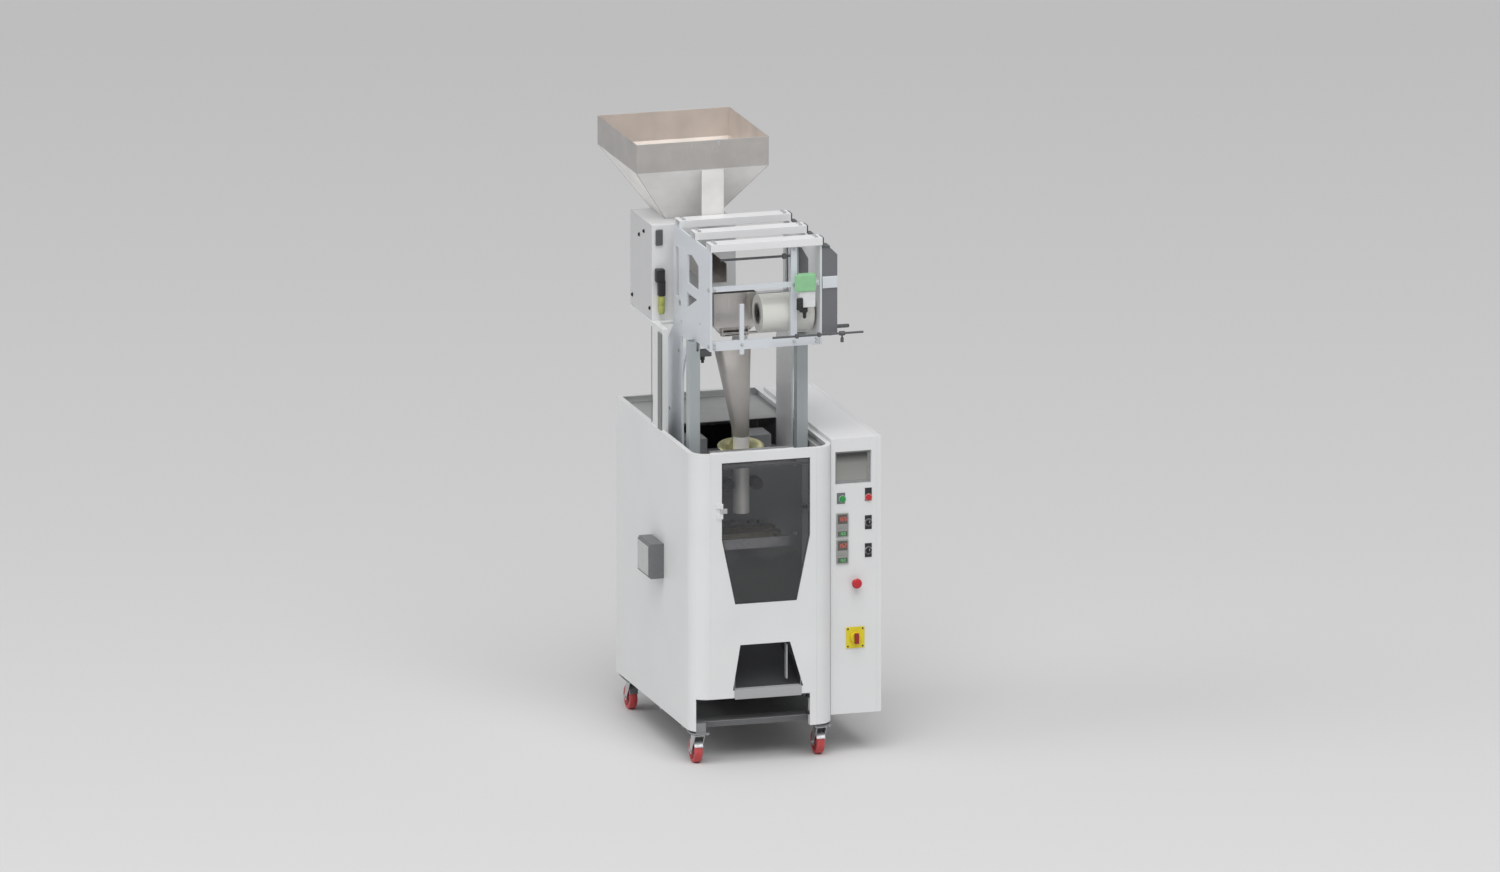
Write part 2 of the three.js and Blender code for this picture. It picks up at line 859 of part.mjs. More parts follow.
// Discharge chute: a folded sheet from the inner plate down over the sill, with two cheeks
function dischargeChute() {
  const [left, right] = [outletBottomLeft + chuteSideGap, outletBottomRight - chuteSideGap];
  const back = innerPlateFront - fit;
  const floor = sillZ + fit;
  const lipBack = -fit;
  const cheekFront = sheet + fit;
  const folded = outline([
    [lipBack - sheet, floor - chuteLipDrop],
    [lipBack, floor - chuteLipDrop],
    [lipBack, floor],
    [chuteTongue, floor],
    [back, floor + chuteRise],
    [back, floor + chuteRise + sheet],
    [chuteTongue, floor + sheet],
    [lipBack - sheet, floor + sheet],
  ]);
  const cheek = outline([
    [cheekFront, floor],
    [chuteTongue, floor],
    [back, floor + chuteRise],
    [back, floor + chuteRise + chuteCheek],
    [chuteTongue, floor + chuteCheek],
    [cheekFront, floor + chuteCheek],
  ]);
  return join(
    prismX(folded, left, right),
    prismX(cheek, left, left + sheet),
    prismX(cheek, right - sheet, right),
  );
}

// Inner plate with a shelf for the tower legs, two drive boxes, roller bearings and seal cylinder
function innerBackPlate() {
  const [left, right] = [cabinetInset, cabinetWidth - cabinetInset];
  const plateBack = innerPlateFront + innerPlateThickness;
  const pieces = [
    box(left, right, innerPlateFront, plateBack, frameTop + fit, shelfTop),
    box(left, right, innerPlateFront, innerPlateFront + shelfDepth, shelfTop - shelfThickness, shelfTop),
  ];
  for (const side of [-1, 1]) {
    const x = tubeX + side * driveBoxSpacing;
    const y = innerPlateFront + driveBoxSetBack;
    const half = driveBoxWidth / 2;
    pieces.push(box(x - half, x + half, y, y + driveBoxDepth, shelfTop - embed, shelfTop + driveBoxHeight));
  }
  const bores = [];
  const end = innerPlateFront - embed;
  for (const side of [-1, 1]) {
    const x = tubeX + side * pullRollerOffset;
    const front = innerPlateFront - bearingLength;
    pieces.push(rodY(bearingRadius, front, innerPlateFront + embed, x, pullRollerZ));
    bores.push(rodY(rollerShaftRadius + fit, front - overrun, end, x, pullRollerZ));
  }
  const front = innerPlateFront - sealCylinderLength;
  pieces.push(rodY(sealCylinderRadius, front, innerPlateFront + embed, tubeX, sealRodZ));
  bores.push(rodY(sealRodRadius + fit, front - overrun, end, tubeX, sealRodZ));
  return cut(join(...pieces), ...bores);
}

function junctionBox() {
  const top = cabinetTop - junctionDrop;
  const [x0, y0, z0] = [-fit - junctionWidth, junctionY, top - junctionHeight];
  const inset = junctionLidInset;
  const [y1, z1] = [y0 + junctionDepth, top];
  return join(
    box(x0 + junctionLid, -fit, y0, y1, z0, z1),
    box(x0, x0 + junctionLid + embed, y0 + inset, y1 - inset, z0 + inset, z1 - inset),
  );
}

// Bag forming: a plate across the well that carries the collar, the tube, the posts and a roller
function formingPlate() {
  const [left, right] = [wellLeft + fit, wellRight - fit];
  const bottom = formingTop - formingPlateThickness;
  const rollerZ = formingTop + guideRollerRise;
  const pieces = [box(left, right, formingPlateFront, formingPlateBack, bottom, formingTop)];
  const passage = tubeRadius + filmGap;
  const bores = [rodZ(passage, bottom - overrun, formingTop + overrun, tubeX, tubeY, collarSides)];
  for (const side of [-1, 1]) {
    const inner = tubeX + side * (guideRollerLength / 2 + rollerEndGap);
    const outer = inner + side * rollerEarThickness;
    const [x0, x1] = [Math.min(inner, outer), Math.max(inner, outer)];
    const half = rollerEarWidth / 2;
    pieces.push(box(x0, x1, guideRollerY - half, guideRollerY + half, bottom, rollerZ));
    pieces.push(rodX(half, x0, x1, guideRollerY, rollerZ));
    bores.push(rodX(rollerShaftRadius + fit, x0 - overrun, x1 + overrun, guideRollerY, rollerZ));
  }
  return cut(join(...pieces), ...bores);
}

// Forming collar: a thin shoulder that rises and leans back from a round neck to a wide lip
function formingCollar() {
  const neck = tubeRadius + filmGap;
  const base = formingTop + fit;
  const ringAt = (share, inset) => {
    const flare = 1 - Math.cos((share * Math.PI) / 2);
    const halfWidth = neck + (collarHalfWidth - neck) * flare - inset;
    const halfDepth = neck + (collarHalfDepth - neck) * flare - inset;
    const rise = collarRise * Math.sin((share * Math.PI) / 2);
    const points = [];
    for (let i = 0; i < collarSides; i += 1) {
      const angle = (2 * Math.PI * i) / collarSides;
      const y = tubeY + collarSetBack * flare + halfDepth * Math.sin(angle);
      const z = base + rise + collarBackRise * flare * Math.sin(angle);
      points.push([tubeX + halfWidth * Math.cos(angle), y, z]);
    }
    return points;
  };
  const drop = (points, height) => points.map(([x, y, z]) => [x, y, z + height]);
  const shares = [];
  for (let i = 0; i <= collarRings; i += 1) shares.push(i / collarRings);
  const outer = loft(shares.map((share) => ringAt(share, -collarWall)));
  const innerRings = shares.map((share) => ringAt(share, 0));
  const inner = loft([
    drop(innerRings[0], -overrun),
    ...innerRings.map((points, i) => drop(points, i === 0 ? 0 : collarWall / 2)),
    drop(innerRings[collarRings], overrun),
  ]);
  return cut(outer, inner);
}

// Forming tube with the arm that holds it over the collar
function formingTube() {
  const armTop = tubeTop - tubeArmThickness / 2;
  const armBottom = armTop - tubeArmThickness;
  const half = tubeArmWidth / 2;
  const armBack = formingPlateBack;
  const legFrontY = armBack - tubeArmThickness;
  const inner = tubeRadius - tubeWall;
  const bore = rodZ(inner, tubeBottom - overrun, tubeTop + overrun, tubeX, tubeY, funnelSides);
  return cut(
    join(
      rodZ(tubeRadius, tubeBottom, tubeTop, tubeX, tubeY, funnelSides),
      box(tubeX - half, tubeX + half, tubeY + inner, armBack, armBottom, armTop),
      box(tubeX - half, tubeX + half, legFrontY, armBack, formingTop + fit, armTop),
    ),
    bore,
  );
}

// Product funnel: square and off centre at the top, round where it enters the tube
function productFunnel() {
  const top = deckTop + funnelTopRise;
  const halfWidth = (funnelLeftReach + funnelRightReach) / 2;
  const topX = tubeX + (funnelRightReach - funnelLeftReach) / 2;
  const shoulder = tubeTop + fit;
  const socket = tubeRadius - tubeWall - fit;
  const skin = (inset, extra) => {
    const neck = socket - inset;
    const seat = tubeRadius - inset;
    return loft([
      ring(tubeX, tubeY, neck, neck, shoulder - funnelSocket - extra, funnelSides, false),
      ring(tubeX, tubeY, neck, neck, shoulder, funnelSides, false),
      ring(tubeX, tubeY, seat, seat, shoulder + inset, funnelSides, false),
      ring(topX, tubeY, halfWidth - inset, funnelDepth / 2 - inset, top, funnelSides, true),
      ring(topX, tubeY, halfWidth - inset, funnelDepth / 2 - inset, top + extra + fit, funnelSides, true),
    ]);
  };
  return cut(skin(0, 0), skin(funnelWall, overrun));
}

function guideRoller() {
  const z = formingTop + guideRollerRise;
  const half = guideRollerLength / 2;
  const shaft = half + rollerEndGap + rollerEarThickness;
  return join(
    rodX(guideRollerRadius, tubeX - half, tubeX + half, guideRollerY, z, roundSides),
    rodX(rollerShaftRadius, tubeX - shaft, tubeX + shaft, guideRollerY, z),
  );
}

function pullRoller(side) {
  const x = tubeX + side * pullRollerOffset;
  const half = pullRollerLength / 2;
  const end = innerPlateFront - bearingLength / 2;
  return join(
    rodY(pullRollerRadius, tubeY - half, tubeY + half, x, pullRollerZ, roundSides),
    rodY(rollerShaftRadius, tubeY + half - embed, end, x, pullRollerZ),
  );
}

function verticalSealBar() {
  const half = sealBarWidth / 2;
  const back = sealBarFront + sealBarDepth;
  return join(
    box(tubeX - half, tubeX + half, sealBarFront, back, sealBarTop - sealBarLength, sealBarTop),
    rodY(sealRodRadius, back - embed, back + sealRodLength, tubeX, sealRodZ),
  );
}

function jawGuides() {
  const half = jawLength / 2;
  const flangeBack = innerPlateFront - fit;
  const flangeFront = flangeBack - jawFlangeThickness;
  const cylinderFront = flangeFront - jawCylinderLength;
  const tieFront = jawRodFront - jawTieThickness;
  const tieHalf = jawTieHeight / 2;
  const pieces = [
    box(tubeX - half, tubeX + half, tieFront, jawRodFront, jawZ - tieHalf, jawZ + tieHalf),
    box(tubeX - half, tubeX + half, flangeFront, flangeBack, jawZ - tieHalf, jawZ + tieHalf),
    rodY(jawCylinderRadius, cylinderFront, flangeFront + embed, tubeX, jawZ, roundSides),
  ];
  for (const side of [-1, 1]) {
    const x = tubeX + (side * jawRodSpacing) / 2;
    pieces.push(rodY(jawRodRadius, jawRodFront - embed, flangeFront + embed, x, jawZ));
  }
  const bore = rodY(jawPistonRadius + fit, cylinderFront - overrun, flangeBack - embed, tubeX, jawZ);
  return cut(join(...pieces), bore);
}

// One sealing jaw on its two rods, its face grooved; side -1 is the front jaw, 1 the rear one
function sealingJaw(side) {
  const face = tubeY + (side * jawOpening) / 2;
  const back = face + side * jawDepth;
  const [y0, y1] = [Math.min(face, back), Math.max(face, back)];
  const [half, halfHeight] = [jawLength / 2, jawHeight / 2];
  const tools = [];
  for (const end of [-1, 1]) {
    const x = tubeX + (end * jawRodSpacing) / 2;
    tools.push(rodY(jawRodRadius + fit, y0 - overrun, y1 + overrun, x, jawZ));
  }
  const grooveEnd = face + side * jawGrooveDepth;
  const grooveOpen = face - side * overrun;
  const [g0, g1] = [Math.min(grooveEnd, grooveOpen), Math.max(grooveEnd, grooveOpen)];
  const grooveHalf = jawRodSpacing / 2 - jawRodRadius - jawGrooveHeight * 2;
  for (let i = 0; i < jawGrooves; i += 1) {
    const z = jawZ + (i - (jawGrooves - 1) / 2) * 2 * jawGrooveHeight;
    const [z0, z1] = [z - jawGrooveHeight / 2, z + jawGrooveHeight / 2];
    tools.push(box(tubeX - grooveHalf, tubeX + grooveHalf, g0, g1, z0, z1));
  }
  const jaw = cut(box(tubeX - half, tubeX + half, y0, y1, jawZ - halfHeight, jawZ + halfHeight), ...tools);
  if (side < 0) return jaw;
  return join(jaw, rodY(jawPistonRadius, back - embed, back + jawPistonLength, tubeX, jawZ));
}

// Tower plate: a head on a rear leg with a curved brace, cut out for lightness
function towerPlate(x0, withBore) {
  const rear = towerFront + headDepth;
  const legTop = headBottom - fit;
  const shape = new THREE.Shape();
  shape.moveTo(towerFront, headBottom);
  shape.lineTo(legFront - braceRadius, headBottom);
  shape.absarc(legFront - braceRadius, headBottom - braceRadius, braceRadius, Math.PI / 2, 0, true);
  shape.lineTo(legFront, shelfTop + fit);
  shape.lineTo(legBack, shelfTop + fit);
  shape.lineTo(legBack, legTop - legShoulder);
  shape.lineTo(rear, legTop - fit);
  shape.lineTo(rear, towerTop);
  shape.lineTo(towerFront, towerTop);
  const across = (share) => towerFront + headDepth * share;
  const up = (share) => headBottom + headHeight * share;
  const windowShares = [[0.32, 0.52], [0.62, 0.52], [0.62, 0.8], [0.5, 0.83], [0.32, 0.77]];
  const triangleShares = [[0.36, 0.42], [0.64, 0.42], [0.64, 0.26]];
  const slotShares = [[0.86, 0.3], [0.94, 0.3], [0.94, 0.8], [0.86, 0.8]];
  const braceShares = [[0.55, -0.06], [0.79, -0.06], [0.79, -0.3], [0.72, -0.17]];
  const [start, end] = [x0 - overrun, x0 + plateThickness + overrun];
  const tools = [windowShares, triangleShares, slotShares, braceShares].map((shares) => (
    prismX(outline(shares.map(([a, b]) => [across(a), up(b)])), start, end)
  ));
  const holeShares = [[0.28, 0.2], [0.78, 0.08]];
  for (const [a, b] of holeShares) tools.push(rodX(towerHoleRadius, start, end, across(a), up(b)));
  if (withBore) tools.push(rodX(dumpShaftRadius + fit, start, end, dumpShaftY, dumpShaftZ));
  return cut(prismX(shape, x0, x0 + plateThickness), ...tools);
}

// Folded channel that ties the two plates together along their top edge
function topBar(y0) {
  const [x0, x1] = [leftPlateX, rightPlateBack];
  const [z0, z1] = [towerTop + fit, towerTop + fit + topBarHeight];
  const inner = box(
    x0 - overrun,
    x1 + overrun,
    y0 + topBarWall,
    y0 + topBarDepth - topBarWall,
    z0 - overrun,
    z1 - topBarWall,
  );
  return cut(box(x0, x1, y0, y0 + topBarDepth, z0, z1), inner);
}

// Welded front frame: crossbar, lower beam, middle post, short strut and the sensor box
function frontFrame() {
  const [left, right] = [leftPlateInner + fit, rightPlateX - fit];
  const [y0, y1] = [frontMemberY, frontMemberY + frontMemberDepth];
  const crossbarTop = towerTop - crossbarDrop;
  const beamTop = headBottom + lowerBeamHeight;
  const postHalf = middlePostWidth / 2;
  const strutHalf = strutWidth / 2;
  const strutBack = y0 + frontMemberDepth / 2;
  const [strutBottom, strutTop] = [headBottom - strutDrop, beamTop + strutHeight];
  const sensorX = middlePostX + postHalf + sensorBoxGap;
  const sensorRight = sensorX + sensorBoxWidth;
  const sensorTop = towerTop - sensorBoxDrop;
  return join(
    box(left, right, y0, y1, crossbarTop - crossbarHeight, crossbarTop),
    box(left, right, y0, y1, headBottom, beamTop),
    box(middlePostX - postHalf, middlePostX + postHalf, y0, y1, headBottom, towerTop),
    box(strutX - strutHalf, strutX + strutHalf, y0, strutBack, strutBottom, strutTop),
    box(sensorX, sensorRight, y0 - sensorBoxDepth, y0 + embed, sensorTop - sensorBoxHeight, sensorTop),
  );
}

// Hollow post, slotted at the top where it takes the edge of a tower plate
function towerPost(x, plateX) {
  const half = postSize / 2;
  const [z0, z1] = [formingTop + fit, headBottom - fit];
  const [inner, y] = [half - sheet, postY];
  const [p0, p1] = [plateX - fit, plateX + plateThickness + fit];
  return cut(
    box(x - half, x + half, y - half, y + half, z0, z1),
    box(x - inner, x + inner, y - inner, y + inner, z0 - overrun, z1 + overrun),
    box(p0, p1, y - half - overrun, y + half + overrun, z1 - postSlot, z1 + overrun),
  );
}

function sideDuct() {
  const [x0, x1] = [rightPlateBack + fit, rightPlateBack + fit + ductWidth];
  const z1 = towerTop - ductTopDrop;
  const z0 = z1 - ductHeight;
  const bandTop = z1 - ductBandDrop;
  const shape = outline([
    [x0, z0],
    [x1, z0],
    [x1, z1 - ductChamfer],
    [x1 - ductChamfer, z1],
    [x0, z1],
  ]);
  return join(
    prismY(shape, towerFront, towerFront + ductDepth),
    box(x0, x1, towerFront - ductBandProud, towerFront + embed, bandTop - ductBandHeight, bandTop),
  );
}

function rollShaft() {
  const coreFlat = reelCoreRadius * Math.cos(Math.PI / roundSides);
  const chuckRadius = coreFlat - fit;
  const right = rightPlateX - fit;
  const reelRight = reelLeft + reelWidth;
  return join(
    rodX(reelShaftRadius, reelLeft - reelShaftEnd, right, reelY, reelZ),
    rodX(chuckRadius, reelLeft, reelLeft + reelChuckLength, reelY, reelZ, roundSides),
    rodX(chuckRadius, reelRight - reelChuckLength, reelRight, reelY, reelZ, roundSides),
    rodX(reelFlangeRadius, right - reelFlangeThickness, right, reelY, reelZ, roundSides),
  );
}

function filmRoll() {
  const half = reelWidth / 2;
  const core = reelCoreRadius + reelCoreWall;
  const end = half + reelCoreProud;
  const profile = [
    [reelCoreRadius, -end],
    [core, -end],
    [core, -half],
    [reelRadius, -half],
    [reelRadius, half],
    [core, half],
    [core, end],
    [reelCoreRadius, end],
    [reelCoreRadius, -end],
  ];
  return turned(profile, roundSides).rotateZ(-Math.PI / 2).translate(reelLeft + half, reelY, reelZ);
}

// Weigh bucket: a box on a tapered outlet, with two ears for the dump shaft
function weighBucket() {
  const skin = (inset, extra) => {
    const [width, depth] = [bucketWidth - 2 * inset, bucketDepth - 2 * inset];
    const [outWidth, outDepth] = [bucketOutletWidth - 2 * inset, bucketOutletDepth - 2 * inset];
    const neck = bucketBottom + bucketTaperHeight;
    return loft([
      rectangleRing(bucketX, bucketY, outWidth, outDepth, bucketBottom - extra),
      rectangleRing(bucketX, bucketY, outWidth, outDepth, bucketBottom),
      rectangleRing(bucketX, bucketY, width, depth, neck),
      rectangleRing(bucketX, bucketY, width, depth, bucketTop + extra + fit),
    ]);
  };
  const outer = loft([
    rectangleRing(bucketX, bucketY, bucketOutletWidth, bucketOutletDepth, bucketBottom),
    rectangleRing(bucketX, bucketY, bucketWidth, bucketDepth, bucketBottom + bucketTaperHeight),
    rectangleRing(bucketX, bucketY, bucketWidth, bucketDepth, bucketTop),
  ]);
  const ears = [];
  const bores = [];
  for (const side of [-1, 1]) {
    const inner = bucketX + side * (bucketOutletWidth / 2 + dumpEarGap);
    const far = inner + side * dumpEarThickness;
    const [x0, x1] = [Math.min(inner, far), Math.max(inner, far)];
    const [y0, y1] = [dumpShaftY - dumpEarReach, dumpShaftY + dumpShaftSetBack];
    ears.push(box(x0, x1, y0, y1, dumpShaftZ - dumpEarReach, dumpShaftZ + dumpEarHeight));
    bores.push(rodX(dumpShaftRadius + fit, x0 - overrun, x1 + overrun, dumpShaftY, dumpShaftZ));
  }
  return cut(join(outer, ...ears), skin(bucketWall, overrun), ...bores);
}

// Bucket flap with its lugs, the dump shaft out through the right plate and the lever on it
function bucketFlap() {
  const half = bucketOutletWidth / 2;
  const top = bucketBottom - fit;
  const bottom = top - flapThickness;
  const front = dumpShaftY - flapFrontInset;
  const back = bucketY + bucketOutletDepth / 2;
  const earOuter = half + dumpEarGap + dumpEarThickness;
  const leverHalf = leverWidth / 2;
  const pieces = [
    box(bucketX - half, bucketX + half, front, back, bottom, top),
    rodX(dumpShaftRadius, bucketX - earOuter, dumpShaftEnd, dumpShaftY, dumpShaftZ),
    box(
      leverX - leverHalf,
      leverX + leverHalf,
      dumpShaftY - dumpShaftRadius - sheet,
      dumpShaftY + dumpShaftRadius + sheet,
      dumpShaftZ - leverLength,
      dumpShaftZ + dumpShaftRadius + sheet,
    ),
  ];
  for (const side of [-1, 1]) {
    const outer = bucketX + side * half;
    const inner = outer - side * flapLugThickness;
    const [x0, x1] = [Math.min(inner, outer), Math.max(inner, outer)];
    const [y0, y1] = [dumpShaftY - flapLugReach, dumpShaftY + flapLugReach];
    pieces.push(box(x0, x1, y0, y1, bottom, dumpShaftZ + flapLugReach / 2));
  }
  return join(...pieces);
}

// Beam between the tower plates with the load cell that the bucket hangs on
function weighBeam() {
  const bucketBack = bucketFront + bucketDepth;
  const [y0, z0] = [bucketBack + weighBeamSetBack, bucketBottom + weighBeamRise];
  const z1 = z0 + weighBeamHeight;
  const cellTop = z1 - (weighBeamHeight - loadCellHeight) / 2;
  const half = loadCellWidth / 2;
  return join(
    box(leftPlateInner + fit, rightPlateX - fit, y0, y0 + weighBeamDepth, z0, z1),
    box(bucketX - half, bucketX + half, bucketBack + fit, y0 + embed, cellTop - loadCellHeight, cellTop),
  );
}

// Feeder stand: two channel columns, one on the deck and one on the shelf, under a platform
function feederStand() {
  const right = standLeft + platformWidth;
  const [y0, y1] = [columnFront, columnFront + columnDepth];
  const platformBack = platformFront + platformDepth;
  const platformBottom = platformTop - platformThickness;
  const column = (x0, x1, openSide, foot) => {
    const [i0, i1] = openSide > 0 ? [x0 + sheet, x1 + overrun] : [x0 - overrun, x1 - sheet];
    return cut(
      box(x0, x1, y0, y1, foot, platformTop),
      box(i0, i1, y0 + sheet, y1 - sheet, foot - overrun, platformBottom),
    );
  };
  return join(
    column(standLeft, standLeft + columnThickness, 1, deckTop + fit),
    column(right - columnThickness, right, -1, shelfTop + fit),
    box(standLeft, right, platformFront, platformBack, platformBottom, platformTop),
  );
}

const hopperSkin = (inset, extra) => loft([
  rectangleRing(hopperX, hopperY, hopperOutlet - 2 * inset, hopperOutlet - 2 * inset, spoutBottom - extra),
  rectangleRing(hopperX, hopperY, hopperOutlet - 2 * inset, hopperOutlet - 2 * inset, hopperConeBottom),
  rectangleRing(hopperX, hopperY, hopperSize - 2 * inset, hopperSize - 2 * inset, hopperRimBottom),
  rectangleRing(hopperX, hopperY, hopperSize - 2 * inset, hopperSize - 2 * inset, hopperTop + extra),
]);

// Feeder housing: a folded guard, open at the back, whose top is a saddle for the hopper's cone
function feederHousing() {
  const [x0, x1] = [standLeft + housingInset, standLeft + platformWidth - housingInset];
  const [y0, y1] = [housingFront, housingFront + housingDepth];
  const [z0, z1] = [platformTop + fit, housingTop];
  const slotHalf = troughWidth / 2 + troughSlotGap;
  return cut(
    box(x0, x1, y0, y1, z0, z1),
    box(x0 + sheet, x1 - sheet, y0 + sheet, y1 + overrun, z0 - overrun, z1 - sheet),
    hopperSkin(-fit, 0),
    box(
      hopperX - slotHalf,
      hopperX + slotHalf,
      y0 - overrun,
      y0 + sheet + overrun,
      troughBottom - troughSlotGap,
      troughBottom + troughHeight + troughSlotGap,
    ),
  );
}

// Hopper: a square rim over a pyramid and a short spout, with the front bracket it stands on
function hopper() {
  const rimFront = hopperY - hopperSize / 2;
  const bracketX = hopperX + hopperBracketOffset;
  const half = hopperBracketWidth / 2;
  const [y0, y1] = [rimFront + hopperBracketThickness / 2, rimFront + 1.5 * hopperBracketThickness];
  const foot = housingTop + fit;
  const footBack = housingFront + hopperBracketFoot;
  return cut(
    join(
      hopperSkin(0, 0),
      box(bracketX - half, bracketX + half, y0, y1, foot, hopperRimBottom),
      box(bracketX - half, bracketX + half, y0, footBack, foot, foot + hopperBracketThickness),
    ),
    hopperSkin(hopperWall, overrun),
  );
}

function feederTrough() {
  const half = troughWidth / 2;
  const [y0, y1] = [troughFront, troughFront + troughLength];
  const inner = half - troughWall;
  return cut(
    box(hopperX - half, hopperX + half, y0, y1, troughBottom, troughBottom + troughHeight),
    box(
      hopperX - inner,
      hopperX + inner,
      y0 - overrun,
      y1 - troughWall,
      troughBottom + troughWall,
      troughBottom + troughHeight + overrun,
    ),
  );
}

// Vibrator: a heavy base, two leaning leaf springs and the bar that the trough sits on
function vibratorDrive() {
  const half = vibratorWidth / 2;
  const [y0, y1] = [housingFront + vibratorSetBack, housingFront + vibratorSetBack + vibratorDepth];
  const z0 = platformTop + fit;
  const baseTop = z0 + vibratorBase;
  const seatTop = troughBottom - fit;
  const seatBottom = seatTop - springSeat;
  const pieces = [
    box(hopperX - half, hopperX + half, y0, y1, z0, baseTop),
    box(hopperX - half, hopperX + half, y0 - springOffset, y1 - springOffset, seatBottom, seatTop),
  ];
  for (const foot of [y0, y1 - springThickness]) {
    const shape = outline([
      [foot, baseTop - embed],
      [foot + springThickness, baseTop - embed],
      [foot + springThickness - springOffset, seatBottom + embed],
      [foot - springOffset, seatBottom + embed],
    ]);
    pieces.push(prismX(shape, hopperX - half, hopperX + half));
  }
  return join(...pieces);
}

// Control cabinet: places of what is fitted in its front
const panelItems = [
  { name: 'start_button', column: leftColumn, drop: buttonDrop },
  { name: 'stop_button', column: rightColumn, drop: buttonDrop },
  { name: 'upper_selector', column: rightColumn, drop: upperSelectorDrop },
  { name: 'lower_selector', column: rightColumn, drop: lowerSelectorDrop },
  { name: 'emergency_stop', column: middleColumn, drop: stopDrop },
];

function frontCut(column, drop, width, height, inset = 0) {
  const [x, z] = [controlX + column, controlTop - drop];
  const [w, h] = [width / 2 - inset, height / 2 - inset];
  return [x - w, x + w, z - h, z + h];
}

function controlEnclosure() {
  const x1 = controlDoorX - fit;
  const shell = cut(
    box(controlX, x1, controlFront, controlBack, controlBottom, controlTop),
    box(
      controlX + sheet,
      x1 + overrun,
      controlFront + sheet,
      controlBack - sheet,
      controlBottom + sheet,
      controlTop - sheet,
    ),
  );
  const screenDrop = screenTopDrop + screenHeight / 2;
  const [s0, s1, t0, t1] = frontCut(screenColumn, screenDrop, screenWidth, screenHeight);
  const behind = controlFront + sheet + overrun;
  const pieces = [
    shell,
    box(s0 - sheet, s1 + sheet, controlFront, controlFront + screenPocket, t0 - sheet, t1 + sheet),
    ...mountingPlate(),
    ...doorHingeLeaves(),
  ];
  const tools = [box(s0, s1, controlFront - overrun, controlFront + screenPocket + overrun, t0, t1)];
  for (const drop of [upperControllerDrop, lowerControllerDrop]) {
    const lap = controllerFlange - fit;
    const [a, b, c, d] = frontCut(leftColumn, drop, controllerWidth, controllerHeight, lap);
    tools.push(box(a, b, controlFront - controllerFlange - fit, behind, c, d));
  }
  for (const { column, drop } of panelItems) {
    const [x, z] = [controlX + column, controlTop - drop];
    pieces.push(rodY(bezelRadius, controlFront - bezelProud, controlFront + embed, x, z));
    tools.push(rodY(buttonRadius + fit, controlFront - overrun * 2, behind, x, z, roundSides));
  }
  const [x, z] = [controlX + middleColumn, controlTop - isolatorDrop];
  tools.push(rodY(buttonRadius + fit, controlFront - overrun, behind, x, z));
  return cut(join(...pieces), ...tools);
}

// Mounting plate inside the control cabinet, on stand-offs, with rows of rail modules
function mountingPlate() {
  const x0 = controlX + sheet + mountingPlateGap;
  const x1 = x0 + mountingPlateThickness;
  const [y0, y1] = [controlFront + mountingPlateMargin, controlBack - mountingPlateMargin];
  const [z0, z1] = [controlBottom + mountingPlateMargin, controlTop - mountingPlateMargin];
  const pieces = [box(x0, x1, y0, y1, z0, z1)];
  for (const y of [y0 + standOffInset, y1 - standOffInset]) {
    for (const z of [z0 + standOffInset, z1 - standOffInset]) {
      pieces.push(rodX(standOffRadius, controlX + embed, x0 + embed, y, z));
    }
  }
  const rowPitch = (z1 - z0) / railRows;
  const modulePitch = (y1 - y0) / railModules;
  const half = (modulePitch * railModuleShare) / 2;
  for (let row = 0; row < railRows; row += 1) {
    const z = z0 + (row + 0.5) * rowPitch;
    for (let i = 0; i < railModules; i += 1) {
      const y = y0 + (i + 0.5) * modulePitch;
      const [b, t] = [z - railModuleHeight / 2, z + railModuleHeight / 2];
      pieces.push(box(x0 + embed, x1 + railModuleDepth, y - half, y + half, b, t));
    }
  }
  return pieces;
}

const doorHingeHeights = () => [
  controlBottom + doorHingeRise,
  controlTop - doorHingeRise - 2 * knuckleHeight,
];

function doorHingeLeaves() {
  const pieces = [];
  const leafEnd = controlDoorX - fit;
  const leafStart = leafEnd - hingeLeafWidth;
  for (const z of doorHingeHeights()) {
    const top = z + knuckleHeight;
    pieces.push(rodZ(hingeRadius, z, top, doorHingeX, doorHingeY));
    pieces.push(rodZ(hingePinRadius, z, top + knuckleHeight, doorHingeX, doorHingeY));
    pieces.push(box(
      leafStart,
      doorHingeX,
      controlBack + hingeGap,
      controlBack + hingeGap + hingeLeafThickness,
      z,
      top,
    ));
    pieces.push(box(leafStart, leafEnd - embed, controlBack - embed, controlBack + embed, z, top));
  }
  return pieces;
}

function controlDoor() {
  const tray = cut(
    box(controlDoorX, controlRight, controlFront, controlBack, controlBottom, controlTop),
    box(
      controlDoorX - overrun,
      controlRight - sheet,
      controlFront + sheet,
      controlBack - sheet,
      controlBottom + sheet,
      controlTop - sheet,
    ),
  );
  const pieces = [tray];
  const bores = [];
  for (const z of doorHingeHeights()) {
    const [z0, z1] = [z + knuckleHeight + hingeGap, z + 2 * knuckleHeight];
    const half = hingeLeafThickness / 2;
    pieces.push(rodZ(hingeRadius, z0, z1, doorHingeX, doorHingeY));
    pieces.push(box(doorHingeX - half, doorHingeX + half, controlBack - embed, doorHingeY, z0, z1));
    bores.push(rodZ(hingePinRadius + fit, z0 - overrun, z1 + overrun, doorHingeX, doorHingeY));
  }
  const lockZ = (controlBottom + controlTop) / 2;
  const lockY = controlFront + lockInset;
  pieces.push(rodX(lockRadius, controlRight - embed, controlRight + lockProud, lockY, lockZ));
  return cut(join(...pieces), ...bores);
}

